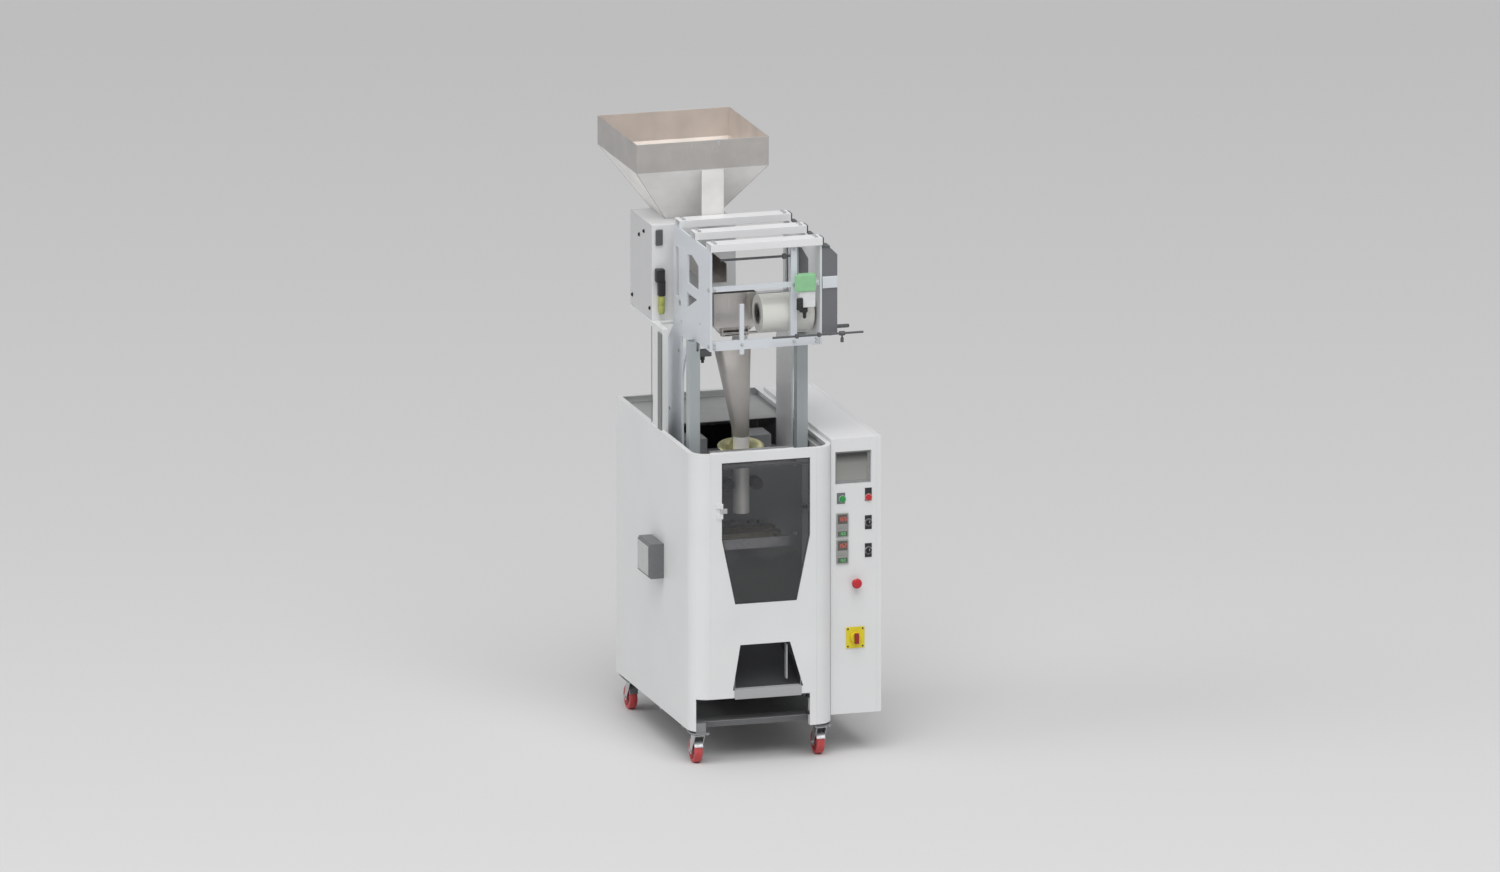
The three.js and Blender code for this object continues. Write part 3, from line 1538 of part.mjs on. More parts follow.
function touchScreen() {
  const screenDrop = screenTopDrop + screenHeight / 2;
  const [x0, x1, z0, z1] = frontCut(screenColumn, screenDrop, screenWidth, screenHeight, fit);
  const y0 = controlFront + screenSetBack;
  const b = screenBorder;
  return cut(
    box(x0, x1, y0, y0 + screenThickness, z0, z1),
    box(x0 + b, x1 - b, y0 - overrun, y0 + screenStep, z0 + b, z1 - b),
  );
}

function temperatureController(drop) {
  const [x0, x1, z0, z1] = frontCut(leftColumn, drop, controllerWidth, controllerHeight);
  const [a, b, c, d] = frontCut(leftColumn, drop, controllerWidth, controllerHeight, controllerFlange);
  const front = controlFront - controllerBezel;
  const back = controlFront - fit;
  const step = controllerFlange;
  return cut(
    join(
      box(x0, x1, front, back, z0, z1),
      box(a, b, back - embed, controlFront + controllerBody, c, d),
    ),
    box(a + step, b - step, front - overrun, front + screenStep, c + step, d - step),
  );
}

function pushButton(column, drop) {
  const [x, z] = [controlX + column, controlTop - drop];
  return rodY(buttonRadius, controlFront - buttonProud, controlFront + buttonTail, x, z, roundSides);
}

function selector(column, drop) {
  const [x, z] = [controlX + column, controlTop - drop];
  const front = controlFront - buttonProud;
  const half = selectorGripWidth / 2;
  const reach = buttonRadius - embed;
  return join(
    pushButton(column, drop),
    box(x - half, x + half, front - selectorGripDepth, front + embed, z - reach, z + reach),
  );
}

function emergencyStop() {
  const [x, z] = [controlX + middleColumn, controlTop - stopDrop];
  const headShares = [[0, 0], [0.8, 0], [1, 0.25], [1, 0.6], [0.72, 0.9], [0, 1]];
  const profile = headShares.map(([r, h]) => [r * mushroomRadius, h * mushroomHeight]);
  const back = controlFront - mushroomProud + mushroomHeight;
  const head = turned(profile, roundSides).rotateX(Math.PI).translate(x, back, z);
  return join(head, rodY(buttonRadius, back - embed, controlFront + buttonTail, x, z, roundSides));
}

function isolatorPlate() {
  const [x0, x1, z0, z1] = frontCut(middleColumn, isolatorDrop, isolatorWidth, isolatorHeight);
  const [x, z] = [(x0 + x1) / 2, (z0 + z1) / 2];
  const back = controlFront - fit;
  const front = back - isolatorPlateThickness;
  return cut(
    box(x0, x1, front, back, z0, z1),
    rodY(buttonRadius + fit, front - overrun, back + overrun, x, z),
  );
}

function isolatorKnob() {
  const [x, z] = [controlX + middleColumn, controlTop - isolatorDrop];
  const back = controlFront - 2 * fit - isolatorPlateThickness;
  const front = back - isolatorKnobDepth;
  const half = isolatorGripWidth / 2;
  const reach = isolatorKnobRadius - embed;
  return join(
    rodY(isolatorKnobRadius, front, back, x, z, roundSides),
    rodY(buttonRadius, back - embed, controlFront + buttonTail, x, z),
    box(x - half, x + half, front - isolatorGripDepth, front + embed, z - reach, z + reach),
  );
}

// Putting the machine together
add('base_frame', baseFrame(), darkPaint);
const legCut = box(
  leftLegWidth,
  cornerRadius + overrun,
  -overrun,
  cornerRadius,
  skirtBottom - overrun,
  frontBottom,
);
const rimNotch = box(
  standLeft - fit,
  rimLip + overrun,
  columnFront - fit,
  columnFront + columnDepth + fit,
  cabinetTop - sheet - embed,
  cabinetTop + overrun,
);
add('left_side_panel', cut(sidePanel(false), legCut, rimNotch), whitePaint);
add('right_side_panel', sidePanel(true), whitePaint);
add('front_panel', frontPanel(), whitePaint);
add('rear_panel', rearPanel(), whitePaint);
add('top_deck', topDeck(), whitePaint);
add('inner_back_plate', innerBackPlate(), darkPaint);
add('discharge_chute', dischargeChute(), greyPaint);
add('junction_box', junctionBox(), greyPaint);
add('window_door', windowDoor(), tintedPane);

add('forming_plate', formingPlate(), darkPaint);
add('forming_collar', formingCollar(), bronze);
add('forming_tube', formingTube(), stainless);
add('product_funnel', productFunnel(), stainless);
add('guide_roller', guideRoller(), stainless);
add('left_pull_roller', pullRoller(-1), blackPlastic);
add('right_pull_roller', pullRoller(1), blackPlastic);
add('vertical_seal_bar', verticalSealBar(), bronze);
add('jaw_guides', jawGuides(), zinc);
add('front_jaw', sealingJaw(-1), bronze);
add('rear_jaw', sealingJaw(1), bronze);

add('left_tower_plate', towerPlate(leftPlateX, false), towerPaint);
add('right_tower_plate', towerPlate(rightPlateX, true), towerPaint);
const frontBarY = towerFront - topBarOverhang;
const rearBarY = towerFront + headDepth - topBarRearInset - topBarDepth;
add('front_top_bar', topBar(frontBarY), whitePaint);
add('middle_top_bar', topBar((frontBarY + rearBarY) / 2), whitePaint);
add('rear_top_bar', topBar(rearBarY), whitePaint);
add('front_frame', frontFrame(), towerPaint);
add('left_post', towerPost(postX, leftPlateX), greyPaint);
add('right_post', towerPost(rightPostX, rightPlateX), greyPaint);
add('side_duct', sideDuct(), greyPaint);
add('roll_shaft', rollShaft(), darkPaint);
add('film_roll', filmRoll(), filmWhite);

add('weigh_beam', weighBeam(), greyPaint);
add('weigh_bucket', weighBucket(), stainless);
add('bucket_flap', bucketFlap(), stainless);
add('feeder_stand', feederStand(), whitePaint);
add('feeder_housing', feederHousing(), whitePaint);
add('vibrator_drive', vibratorDrive(), darkPaint);
add('feeder_trough', feederTrough(), stainless);
add('hopper', hopper(), stainless);

add('control_enclosure', controlEnclosure(), whitePaint);
add('control_door', controlDoor(), whitePaint);
add('touch_screen', touchScreen(), screenGlass);
add('upper_temperature_controller', temperatureController(upperControllerDrop), blackPlastic);
add('lower_temperature_controller', temperatureController(lowerControllerDrop), blackPlastic);
add('start_button', pushButton(leftColumn, buttonDrop), greenPlastic);
add('stop_button', pushButton(rightColumn, buttonDrop), redPlastic);
add('upper_selector', selector(rightColumn, upperSelectorDrop), blackPlastic);
add('lower_selector', selector(rightColumn, lowerSelectorDrop), blackPlastic);
add('emergency_stop', emergencyStop(), redPlastic);
add('isolator_plate', isolatorPlate(), yellowPlastic);
add('isolator_knob', isolatorKnob(), redPlastic);

for (const { name, x, y, braked } of castorPlaces()) {
  add(`${name}_fork`, castorFork(x, y, braked), zinc);
  add(`${name}_wheel`, castorWheel(x, y), redTyre);
}

// The origin is the middle of the footprint, on the floor
const extent = new THREE.Box3().setFromObject(machine);
const middle = extent.getCenter(new THREE.Vector3());
machine.position.set(-middle.x, -middle.y, -extent.min.z);

export default machine;
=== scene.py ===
import json
import math

import bmesh
import bpy
from mathutils import Matrix, Vector


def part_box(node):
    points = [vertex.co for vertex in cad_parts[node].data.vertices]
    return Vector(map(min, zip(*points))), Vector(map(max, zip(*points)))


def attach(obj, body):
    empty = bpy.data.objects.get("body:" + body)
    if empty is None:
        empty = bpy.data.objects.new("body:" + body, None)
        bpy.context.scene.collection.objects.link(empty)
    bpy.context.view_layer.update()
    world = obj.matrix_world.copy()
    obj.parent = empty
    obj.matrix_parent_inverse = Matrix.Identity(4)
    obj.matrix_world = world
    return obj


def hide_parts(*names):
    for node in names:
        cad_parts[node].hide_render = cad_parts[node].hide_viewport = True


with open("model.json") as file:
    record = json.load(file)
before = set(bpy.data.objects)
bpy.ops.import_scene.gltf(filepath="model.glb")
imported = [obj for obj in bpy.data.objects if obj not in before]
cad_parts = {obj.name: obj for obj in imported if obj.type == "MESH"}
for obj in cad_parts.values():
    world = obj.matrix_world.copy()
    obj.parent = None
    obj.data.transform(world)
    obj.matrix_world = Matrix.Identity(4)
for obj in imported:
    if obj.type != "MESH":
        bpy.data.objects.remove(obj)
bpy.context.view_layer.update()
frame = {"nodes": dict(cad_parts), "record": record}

# Where things are: every place is given in millimetres from the cabinet's front left corner on the
# floor, with x along its front, y towards its back and z up, as a fitter would measure it.
cabinet_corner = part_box("left_side_panel")[0]
body_of_node = {node: body for body, nodes in frame["record"]["behaviour"]["bodies"].items()
                for node in nodes}


def spot(x, y, z):
    """A place measured on the cabinet, in the frame's metres."""
    return Vector((cabinet_corner.x + x / 1000, cabinet_corner.y + y / 1000, z / 1000))


# Camera: a long lens well in front of the machine, a little to its left and above it, so that its
# front, its left side and the tops of its bars show, nearly without perspective.
camera_azimuth = math.radians(-16.6)
camera_elevation = math.radians(13.6)
camera_distance = 130
camera_lens = 800
camera_sensor = 36
camera_aim = spot(390, 523, 1183)
camera_back = Vector((
    math.sin(camera_azimuth) * math.cos(camera_elevation),
    -math.cos(camera_azimuth) * math.cos(camera_elevation),
    math.sin(camera_elevation),
))
camera_data = bpy.data.cameras.new("camera")
camera_data.lens = camera_lens
camera_data.sensor_width = camera_sensor
camera_data.clip_end = 300
camera = bpy.data.objects.new("camera", camera_data)
camera.location = camera_aim + camera_back * camera_distance
camera.rotation_euler = (-camera_back).to_track_quat("-Z", "Y").to_euler()
bpy.context.collection.objects.link(camera)
bpy.context.scene.camera = camera
bpy.context.scene.view_settings.view_transform = "Standard"


# Studio light: a broad lamp high in front, one from the left that gives the shadow to the right, and
# an even grey room that the steel reflects as soft bands.
def sun_lamp(name, towards, strength, spread):
    """A soft lamp far away in the direction that towards points to."""
    data = bpy.data.lights.new(name, "SUN")
    data.energy = strength
    data.angle = math.radians(spread)
    lamp = bpy.data.objects.new(name, data)
    lamp.rotation_euler = Vector(towards).to_track_quat("Z", "Y").to_euler()
    bpy.context.collection.objects.link(lamp)


def grey_ramp(ramp, bands, warmth=1.0):
    """Sets a ramp to grey levels at places from 0 to 1. A warmth under 1 holds back the blue."""
    for number, (share, level) in enumerate(bands):
        stops = ramp.color_ramp.elements
        stop = stops[number] if number < 2 else stops.new(share)
        stop.position = share
        stop.color = (level, level, level * warmth, 1)


sun_lamp("front_lamp", (-0.12, -0.48, 0.87), 1.83, 50)
sun_lamp("left_lamp", (-0.80, -0.02, 0.60), 0.42, 30)

room = bpy.data.worlds.new("room")
room.use_nodes = True
bpy.context.scene.world = room
room_nodes = room.node_tree.nodes
room_links = room.node_tree.links
room_fill = room_nodes["Background"]
room_fill.inputs["Color"].default_value = (0.40, 0.40, 0.405, 1)
room_walls = room_nodes.new("ShaderNodeBackground")
room_ramp = room_nodes.new("ShaderNodeValToRGB")
room_place = room_nodes.new("ShaderNodeTexCoord")
room_split = room_nodes.new("ShaderNodeSeparateXYZ")
room_rays = room_nodes.new("ShaderNodeLightPath")
room_either = room_nodes.new("ShaderNodeMath")
room_mix = room_nodes.new("ShaderNodeMixShader")
room_either.operation = "MAXIMUM"
room_bands = [(0.0, 0.42), (0.12, 0.50), (0.30, 0.62), (0.55, 0.50), (0.72, 0.95), (1.0, 0.80)]
grey_ramp(room_ramp, room_bands)
room_links.new(room_place.outputs["Generated"], room_split.inputs[0])
room_links.new(room_split.outputs["Z"], room_ramp.inputs[0])
room_links.new(room_ramp.outputs[0], room_walls.inputs["Color"])
room_links.new(room_rays.outputs["Is Glossy Ray"], room_either.inputs[0])
room_links.new(room_rays.outputs["Is Transmission Ray"], room_either.inputs[1])
room_links.new(room_either.outputs[0], room_mix.inputs[0])
room_links.new(room_fill.outputs[0], room_mix.inputs[1])
room_links.new(room_walls.outputs[0], room_mix.inputs[2])
room_links.new(room_mix.outputs[0], room_nodes["World Output"].inputs["Surface"])


# Floor: one wide pale sheet that fills the picture and grows darker with distance.
def finish(name, colour, roughness, metallic=0.0):
    """A material, its shader, and the coordinates of the piece that its patterns follow."""
    material = bpy.data.materials.new(name)
    material.use_nodes = True
    tree = material.node_tree
    shader = tree.nodes["Principled BSDF"]
    shader.inputs["Base Color"].default_value = (*colour, 1)
    shader.inputs["Roughness"].default_value = roughness
    shader.inputs["Metallic"].default_value = metallic
    place = tree.nodes.new("ShaderNodeTexCoord")
    return material, tree, shader, place.outputs["Object"]


floor_size = 140
floor_bare = 0.62
floor_stops = [(-3.0, 0.735), (0.0, 0.680), (3.3, 0.620), (7.2, 0.572), (12.1, 0.520)]
floor_material, tree, shader, place = finish("studio_floor", (floor_bare,) * 3, 0.9)
shader.inputs["Specular IOR Level"].default_value = 0.0
floor_turn = tree.nodes.new("ShaderNodeMapping")
floor_turn.inputs["Rotation"].default_value = (0, 0, -camera_azimuth)
floor_split = tree.nodes.new("ShaderNodeSeparateXYZ")
floor_far = tree.nodes.new("ShaderNodeMapRange")
floor_near, floor_end = floor_stops[0][0], floor_stops[-1][0]
floor_far.inputs["From Min"].default_value = floor_near
floor_far.inputs["From Max"].default_value = floor_end
floor_ramp = tree.nodes.new("ShaderNodeValToRGB")
floor_span = floor_end - floor_near
grey_ramp(floor_ramp, [((distance - floor_near) / floor_span, level) for distance,
                       level in floor_stops])
tree.links.new(place, floor_turn.inputs["Vector"])
tree.links.new(floor_turn.outputs[0], floor_split.inputs[0])
tree.links.new(floor_split.outputs["Y"], floor_far.inputs["Value"])
tree.links.new(floor_far.outputs[0], floor_ramp.inputs[0])
tree.links.new(floor_ramp.outputs[0], shader.inputs["Base Color"])
floor_mesh = bpy.data.meshes.new("floor")
floor_half = floor_size / 2
floor_corners = [(-floor_half, -floor_half, 0), (floor_half, -floor_half, 0)]
floor_corners += [(floor_half, floor_half, 0), (-floor_half, floor_half, 0)]
floor_mesh.from_pydata(floor_corners, [], [(0, 1, 2, 3)])
floor_mesh.materials.append(floor_material)
floor = bpy.data.objects.new("floor", floor_mesh)
bpy.context.collection.objects.link(floor)


# Cabinet sheets: folded steel with a satin white powder coat, bolted to the base frame from inside.
# The front corners are rolled, the rim is folded in, and every edge is broken.
def noise(tree, place, scale, stretch=(1, 1, 1), detail=2.0):
    """Soft grain over a piece, drawn out along one direction where stretch is small."""
    mapping = tree.nodes.new("ShaderNodeMapping")
    mapping.inputs["Scale"].default_value = stretch
    texture = tree.nodes.new("ShaderNodeTexNoise")
    texture.inputs["Scale"].default_value = scale
    texture.inputs["Detail"].default_value = detail
    tree.links.new(place, mapping.inputs["Vector"])
    tree.links.new(mapping.outputs[0], texture.inputs["Vector"])
    return texture.outputs["Fac"]


def spread(tree, grain, low, high):
    """The grain as a value between low and high."""
    node = tree.nodes.new("ShaderNodeMapRange")
    node.inputs["From Min"].default_value = 0.3
    node.inputs["From Max"].default_value = 0.7
    node.inputs["To Min"].default_value = low
    node.inputs["To Max"].default_value = high
    tree.links.new(grain, node.inputs["Value"])
    return node.outputs[0]


def tinted(tree, shader, grain, first, second):
    """Lets the colour wander between two shades with the grain."""
    node = tree.nodes.new("ShaderNodeMix")
    node.data_type = "RGBA"
    node.inputs["A"].default_value = (*first, 1)
    node.inputs["B"].default_value = (*second, 1)
    tree.links.new(spread(tree, grain, 0, 1), node.inputs["Factor"])
    tree.links.new(node.outputs["Result"], shader.inputs["Base Color"])


def worn(tree, shader, grain, low, high):
    """Lets the gloss vary with the grain, from roughness low to high."""
    tree.links.new(spread(tree, grain, low, high), shader.inputs["Roughness"])


def relief(tree, shader, grain, strength, depth):
    """Raises the surface a little with the grain."""
    node = tree.nodes.new("ShaderNodeBump")
    node.inputs["Strength"].default_value = strength
    node.inputs["Distance"].default_value = depth
    tree.links.new(grain, node.inputs["Height"])
    tree.links.new(node.outputs[0], shader.inputs["Normal"])


def powder_coat(name, colour, roughness=0.42):
    """Baked powder: a fine orange peel under a satin gloss, cloudy at arm's length."""
    material, tree, shader, place = finish(name, colour, roughness)
    shade = [channel * 0.955 for channel in colour]
    tinted(tree, shader, noise(tree, place, 3.5, detail=4), shade, colour)
    worn(tree, shader, noise(tree, place, 14), roughness - 0.05, roughness + 0.07)
    relief(tree, shader, noise(tree, place, 620), 0.10, 0.0002)
    return material


def soften(piece, edge, steps=2):
    """Breaks the edges of a piece and keeps its flat faces flat to the light."""
    bevel = piece.modifiers.new("broken_edge", "BEVEL")
    bevel.width = edge
    bevel.segments = steps
    bevel.limit_method = "ANGLE"
    bevel.angle_limit = math.radians(32)
    flat = piece.modifiers.new("flat_faces", "WEIGHTED_NORMAL")
    flat.keep_sharp = True


def made(name, mesh, material, body, edge=0.0, stands_for=()):
    """A finished mesh as a piece that rides on a body of the machine."""
    for face in mesh.polygons:
        face.use_smooth = True
    mesh.materials.clear()
    mesh.materials.append(material)
    piece = bpy.data.objects.new(name, mesh)
    bpy.context.collection.objects.link(piece)
    if edge:
        soften(piece, edge)
    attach(piece, body)
    if stands_for:
        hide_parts(*stands_for)
    return piece


def dressed(node, material, edge=0.0012):
    """The CAD solid of a folded, cut or machined piece, with its edges broken."""
    mesh = frame["nodes"][node].data.copy()
    if "custom_normal" in mesh.attributes:
        mesh.attributes.remove(mesh.attributes["custom_normal"])
    work = bmesh.new()
    work.from_mesh(mesh)
    bmesh.ops.remove_doubles(work, verts=work.verts, dist=1e-5)
    bmesh.ops.dissolve_limit(work, angle_limit=math.radians(1), verts=work.verts, edges=work.edges)
    work.to_mesh(mesh)
    work.free()
    return made(node + "_skin", mesh, material, body_of_node[node], edge, (node,))


def recoated(piece, material, chosen):
    """Gives a second finish to those faces whose middle, in millimetres, and direction are chosen."""
    piece.data.materials.append(material)
    for face in piece.data.polygons:
        if chosen((face.center - spot(0, 0, 0)) * 1000, face.normal):
            face.material_index = len(piece.data.materials) - 1


white_coat = powder_coat("white_powder_coat", (0.79, 0.80, 0.80))
for node in ("left_side_panel", "right_side_panel", "front_panel", "rear_panel"):
    dressed(node, white_coat)
# The top deck is mid grey, darker than the white sheets round it.
deck_mid_grey = powder_coat("deck_mid_grey_finish", (0.40, 0.41, 0.405), 0.5)
dressed("top_deck", deck_mid_grey)
dark_paint = powder_coat("dark_machine_paint", (0.075, 0.08, 0.085), 0.5)
frame_paint = powder_coat("frame_grey_paint", (0.26, 0.265, 0.27), 0.5)
dressed("base_frame", frame_paint, 0.0015)


# Screws of the cabinet: low zinc plated heads hold the rear sheet, and two black stops on the fold of
# the right leg take a bag tray.
def grown(name, points, tree, values, material, body="machine"):
    """Grows a tree's repeated form on a set of places, and keeps the result as one plain mesh."""
    mesh = bpy.data.meshes.new(name)
    mesh.from_pydata([tuple(point) for point in points], [], [])
    seed = bpy.data.objects.new(name + "_seed", mesh)
    bpy.context.collection.objects.link(seed)
    modifier = seed.modifiers.new("form", "NODES")
    modifier.node_group = tree
    for item in tree.interface.items_tree:
        if item.in_out == "INPUT" and item.name in values:
            modifier[item.identifier] = values[item.name]
        if item.in_out == "INPUT" and item.name == "Finish":
            modifier[item.identifier] = material
    seed.update_tag()
    graph = bpy.context.evaluated_depsgraph_get()
    plain = bpy.data.meshes.new_from_object(seed.evaluated_get(graph))
    plain.name = name
    bpy.data.objects.remove(seed)
    piece = bpy.data.objects.new(name, plain)
    bpy.context.collection.objects.link(piece)
    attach(piece, body)
    return piece


def form_tree(name, numbers, vectors=()):
    """An empty tree with its geometry, its finish and its named sizes as inputs."""
    tree = bpy.data.node_groups.new(name, "GeometryNodeTree")
    tree.interface.new_socket("Geometry", in_out="INPUT", socket_type="NodeSocketGeometry")
    tree.interface.new_socket("Finish", in_out="INPUT", socket_type="NodeSocketMaterial")
    for label, size in numbers.items():
        kind = "NodeSocketInt" if isinstance(size, int) else "NodeSocketFloat"
        tree.interface.new_socket(label, in_out="INPUT", socket_type=kind).default_value = size
    for label, size in dict(vectors).items():
        tree.interface.new_socket(label,
                                  in_out="INPUT", socket_type="NodeSocketVector").default_value = size
    tree.interface.new_socket("Geometry", in_out="OUTPUT", socket_type="NodeSocketGeometry")
    given = tree.nodes.new("NodeGroupInput")
    return tree, given


def close_tree(tree, given, instances):
    """Ends a tree: the copies become real, get their finish and leave the tree."""
    real = tree.nodes.new("GeometryNodeRealizeInstances")
    coat = tree.nodes.new("GeometryNodeSetMaterial")
    out = tree.nodes.new("NodeGroupOutput")
    tree.links.new(instances, real.inputs[0])
    tree.links.new(real.outputs[0], coat.inputs["Geometry"])
    tree.links.new(given.outputs["Finish"], coat.inputs["Material"])
    tree.links.new(coat.outputs[0], out.inputs[0])


def stud_tree(name, sides):
    """A round or six-sided head on a washer, standing on each point and turned to its face."""
    tree, given = form_tree(name, {"Radius": 0.004, "Height": 0.003}, {"Turn": (0, 0, 0)})
    head = tree.nodes.new("GeometryNodeMeshCylinder")
    head.inputs["Vertices"].default_value = sides
    crown = tree.nodes.new("GeometryNodeMeshCone")
    crown.inputs["Vertices"].default_value = sides
    washer = tree.nodes.new("GeometryNodeMeshCylinder")
    washer.inputs["Vertices"].default_value = 20
    half, lift, wide, thin, narrow, cap = [tree.nodes.new("ShaderNodeMath") for _ in range(6)]
    shares = ((half, 0.5), (lift, 1.0), (wide, 1.35), (thin, 0.22), (narrow, 0.72), (cap, 0.28))
    for node, share in shares:
        node.operation = "MULTIPLY"
        node.inputs[1].default_value = share
    for node, label in ((half, "Height"), (lift, "Height"), (thin, "Height"), (cap, "Height")):
        tree.links.new(given.outputs[label], node.inputs[0])
    for node in (wide, narrow):
        tree.links.new(given.outputs["Radius"], node.inputs[0])
    tree.links.new(given.outputs["Radius"], head.inputs["Radius"])
    tree.links.new(given.outputs["Height"], head.inputs["Depth"])
    tree.links.new(narrow.outputs[0], crown.inputs["Radius Top"])
    tree.links.new(given.outputs["Radius"], crown.inputs["Radius Bottom"])
    tree.links.new(cap.outputs[0], crown.inputs["Depth"])
    tree.links.new(wide.outputs[0], washer.inputs["Radius"])
    tree.links.new(thin.outputs[0], washer.inputs["Depth"])
    join = tree.nodes.new("GeometryNodeJoinGeometry")
    for part, height in ((head, half), (crown, lift)):
        offset = tree.nodes.new("ShaderNodeCombineXYZ")
        move = tree.nodes.new("GeometryNodeTransform")
        tree.links.new(height.outputs[0], offset.inputs["Z"])
        tree.links.new(part.outputs["Mesh"], move.inputs["Geometry"])
        tree.links.new(offset.outputs[0], move.inputs["Translation"])
        tree.links.new(move.outputs[0], join.inputs[0])
    tree.links.new(washer.outputs["Mesh"], join.inputs[0])
    turn = tree.nodes.new("FunctionNodeEulerToRotation")
    place = tree.nodes.new("GeometryNodeInstanceOnPoints")
    tree.links.new(given.outputs["Turn"], turn.inputs[0])
    tree.links.new(given.outputs["Geometry"], place.inputs["Points"])
    tree.links.new(join.outputs[0], place.inputs["Instance"])
    tree.links.new(turn.outputs[0], place.inputs["Rotation"])
    close_tree(tree, given, place.outputs[0])
    return tree


def stud(radius, height, turn):
    """The sizes of a head in metres, and the face it stands on."""
    return {"Radius": radius, "Height": height, "Turn": turn}


facing_front = (math.pi / 2, 0, 0)
facing_back = (-math.pi / 2, 0, 0)
facing_left = (0, -math.pi / 2, 0)
facing_right = (0, math.pi / 2, 0)
facing_up = (0, 0, 0)
facing_down = (math.pi, 0, 0)
round_heads = stud_tree("round_heads", 18)
hexagon_heads = stud_tree("hexagon_heads", 6)


def plated(name, colour, roughness, mottle=0.12):
    """Zinc or bare machined metal: bright, with the cloudy mottle of the plating bath."""
    material, tree, shader, place = finish(name, colour, roughness, 1.0)
    shade = [channel * (1 - mottle) for channel in colour]
    tinted(tree, shader, noise(tree, place, 60, detail=4), shade, colour)
    worn(tree, shader, noise(tree, place, 95), roughness - 0.06, roughness + 0.1)
    relief(tree, shader, noise(tree, place, 900), 0.08, 0.0001)
    return material


zinc = plated("zinc_plate", (0.62, 0.63, 0.64), 0.34)
black_oxide = plated("black_oxide", (0.05, 0.05, 0.055), 0.42)
rear_edge_x = (24, 290, 556)
rear_edge_z = (175, 530, 880, 1215)
rear_screws = [spot(x, 1050, z) for x in rear_edge_x for z in rear_edge_z
               if x != 290 or z in (175, 1215)]
grown("rear_screws", rear_screws, round_heads, stud(0.0046, 0.0026, facing_back), zinc)
leg_stops = [spot(478, 13, z) for z in (188, 254)]
grown("leg_stops", leg_stops, round_heads, stud(0.0065, 0.009, facing_left), black_oxide, "machine")


# Louvres of the rear sheet: pressed hoods over the slots, open downwards, in two columns.
def hood_tree():
    """A pressed hood, a quarter round along x, on each point."""
    tree, given = form_tree("pressed_hoods", {"Length": 0.15, "Reach": 0.009, "Wall": 0.0012})
    path = tree.nodes.new("GeometryNodeCurvePrimitiveLine")
    along = tree.nodes.new("ShaderNodeCombineXYZ")
    back = tree.nodes.new("ShaderNodeCombineXYZ")
    half = tree.nodes.new("ShaderNodeMath")
    less = tree.nodes.new("ShaderNodeMath")
    half.operation = "MULTIPLY"
    half.inputs[1].default_value = 0.5
    less.operation = "MULTIPLY"
    less.inputs[1].default_value = -0.5
    for node, target in ((half, along), (less, back)):
        tree.links.new(given.outputs["Length"], node.inputs[0])
        tree.links.new(node.outputs[0], target.inputs["X"])
    tree.links.new(back.outputs[0], path.inputs["Start"])
    tree.links.new(along.outputs[0], path.inputs["End"])
    arc = tree.nodes.new("GeometryNodeCurveArc")
    arc.inputs["Resolution"].default_value = 7
    arc.inputs["Start Angle"].default_value = 0
    arc.inputs["Sweep Angle"].default_value = math.pi / 2
    tree.links.new(given.outputs["Reach"], arc.inputs["Radius"])
    skin = tree.nodes.new("GeometryNodeCurveToMesh")
    tree.links.new(path.outputs[0], skin.inputs["Curve"])
    tree.links.new(arc.outputs["Curve"], skin.inputs["Profile Curve"])
    wall = tree.nodes.new("GeometryNodeExtrudeMesh")
    wall.inputs["Individual"].default_value = False
    tree.links.new(skin.outputs[0], wall.inputs["Mesh"])
    tree.links.new(given.outputs["Wall"], wall.inputs["Offset Scale"])
    place = tree.nodes.new("GeometryNodeInstanceOnPoints")
    tree.links.new(given.outputs["Geometry"], place.inputs["Points"])
    tree.links.new(wall.outputs["Mesh"], place.inputs["Instance"])
    place.inputs["Rotation"].default_value = (math.pi, 0, 0)
    close_tree(tree, given, place.outputs[0])
    return tree


hoods = hood_tree()
slot_top, slot_pitch, slot_rows, slot_height = 1090, 34, 7, 10
slot_places = [spot(290 + side * 95, 1050, slot_top - row * slot_pitch - slot_height)
               for row in range(slot_rows) for side in (-1, 1)]
grown("rear_louvres", slot_places, hoods, {"Length": 0.156, "Reach": 0.013, "Wall": 0.0012}, white_coat,
      "machine")


# Steel of the product path: fine brushed stainless sheet. Funnel, tube and bucket are brushed along
# their height, the hopper's rim along its length.
def brushed(name, colour, roughness, grain, metallic=1.0):
    """Brushed steel: drawn-out scratches in the gloss and relief, and faint wiped clouds."""
    material, tree, shader, place = finish(name, colour, roughness, metallic)
    shade = [channel * 0.86 for channel in colour]
    scratches = noise(tree, place, 260, grain, 3)
    tinted(tree, shader, noise(tree, place, 9, detail=4), shade, colour)
    worn(tree, shader, scratches, roughness - 0.07, roughness + 0.09)
    relief(tree, shader, scratches, 0.12, 0.0001)
    return material


upright_grain = (3, 3, 0.05)
level_grain = (0.05, 0.05, 3)
rim_steel = brushed("level_brushed_steel", (0.60, 0.575, 0.555), 0.36, level_grain)
cone_steel = brushed("upright_brushed_steel", (0.60, 0.575, 0.555), 0.33, upright_grain)


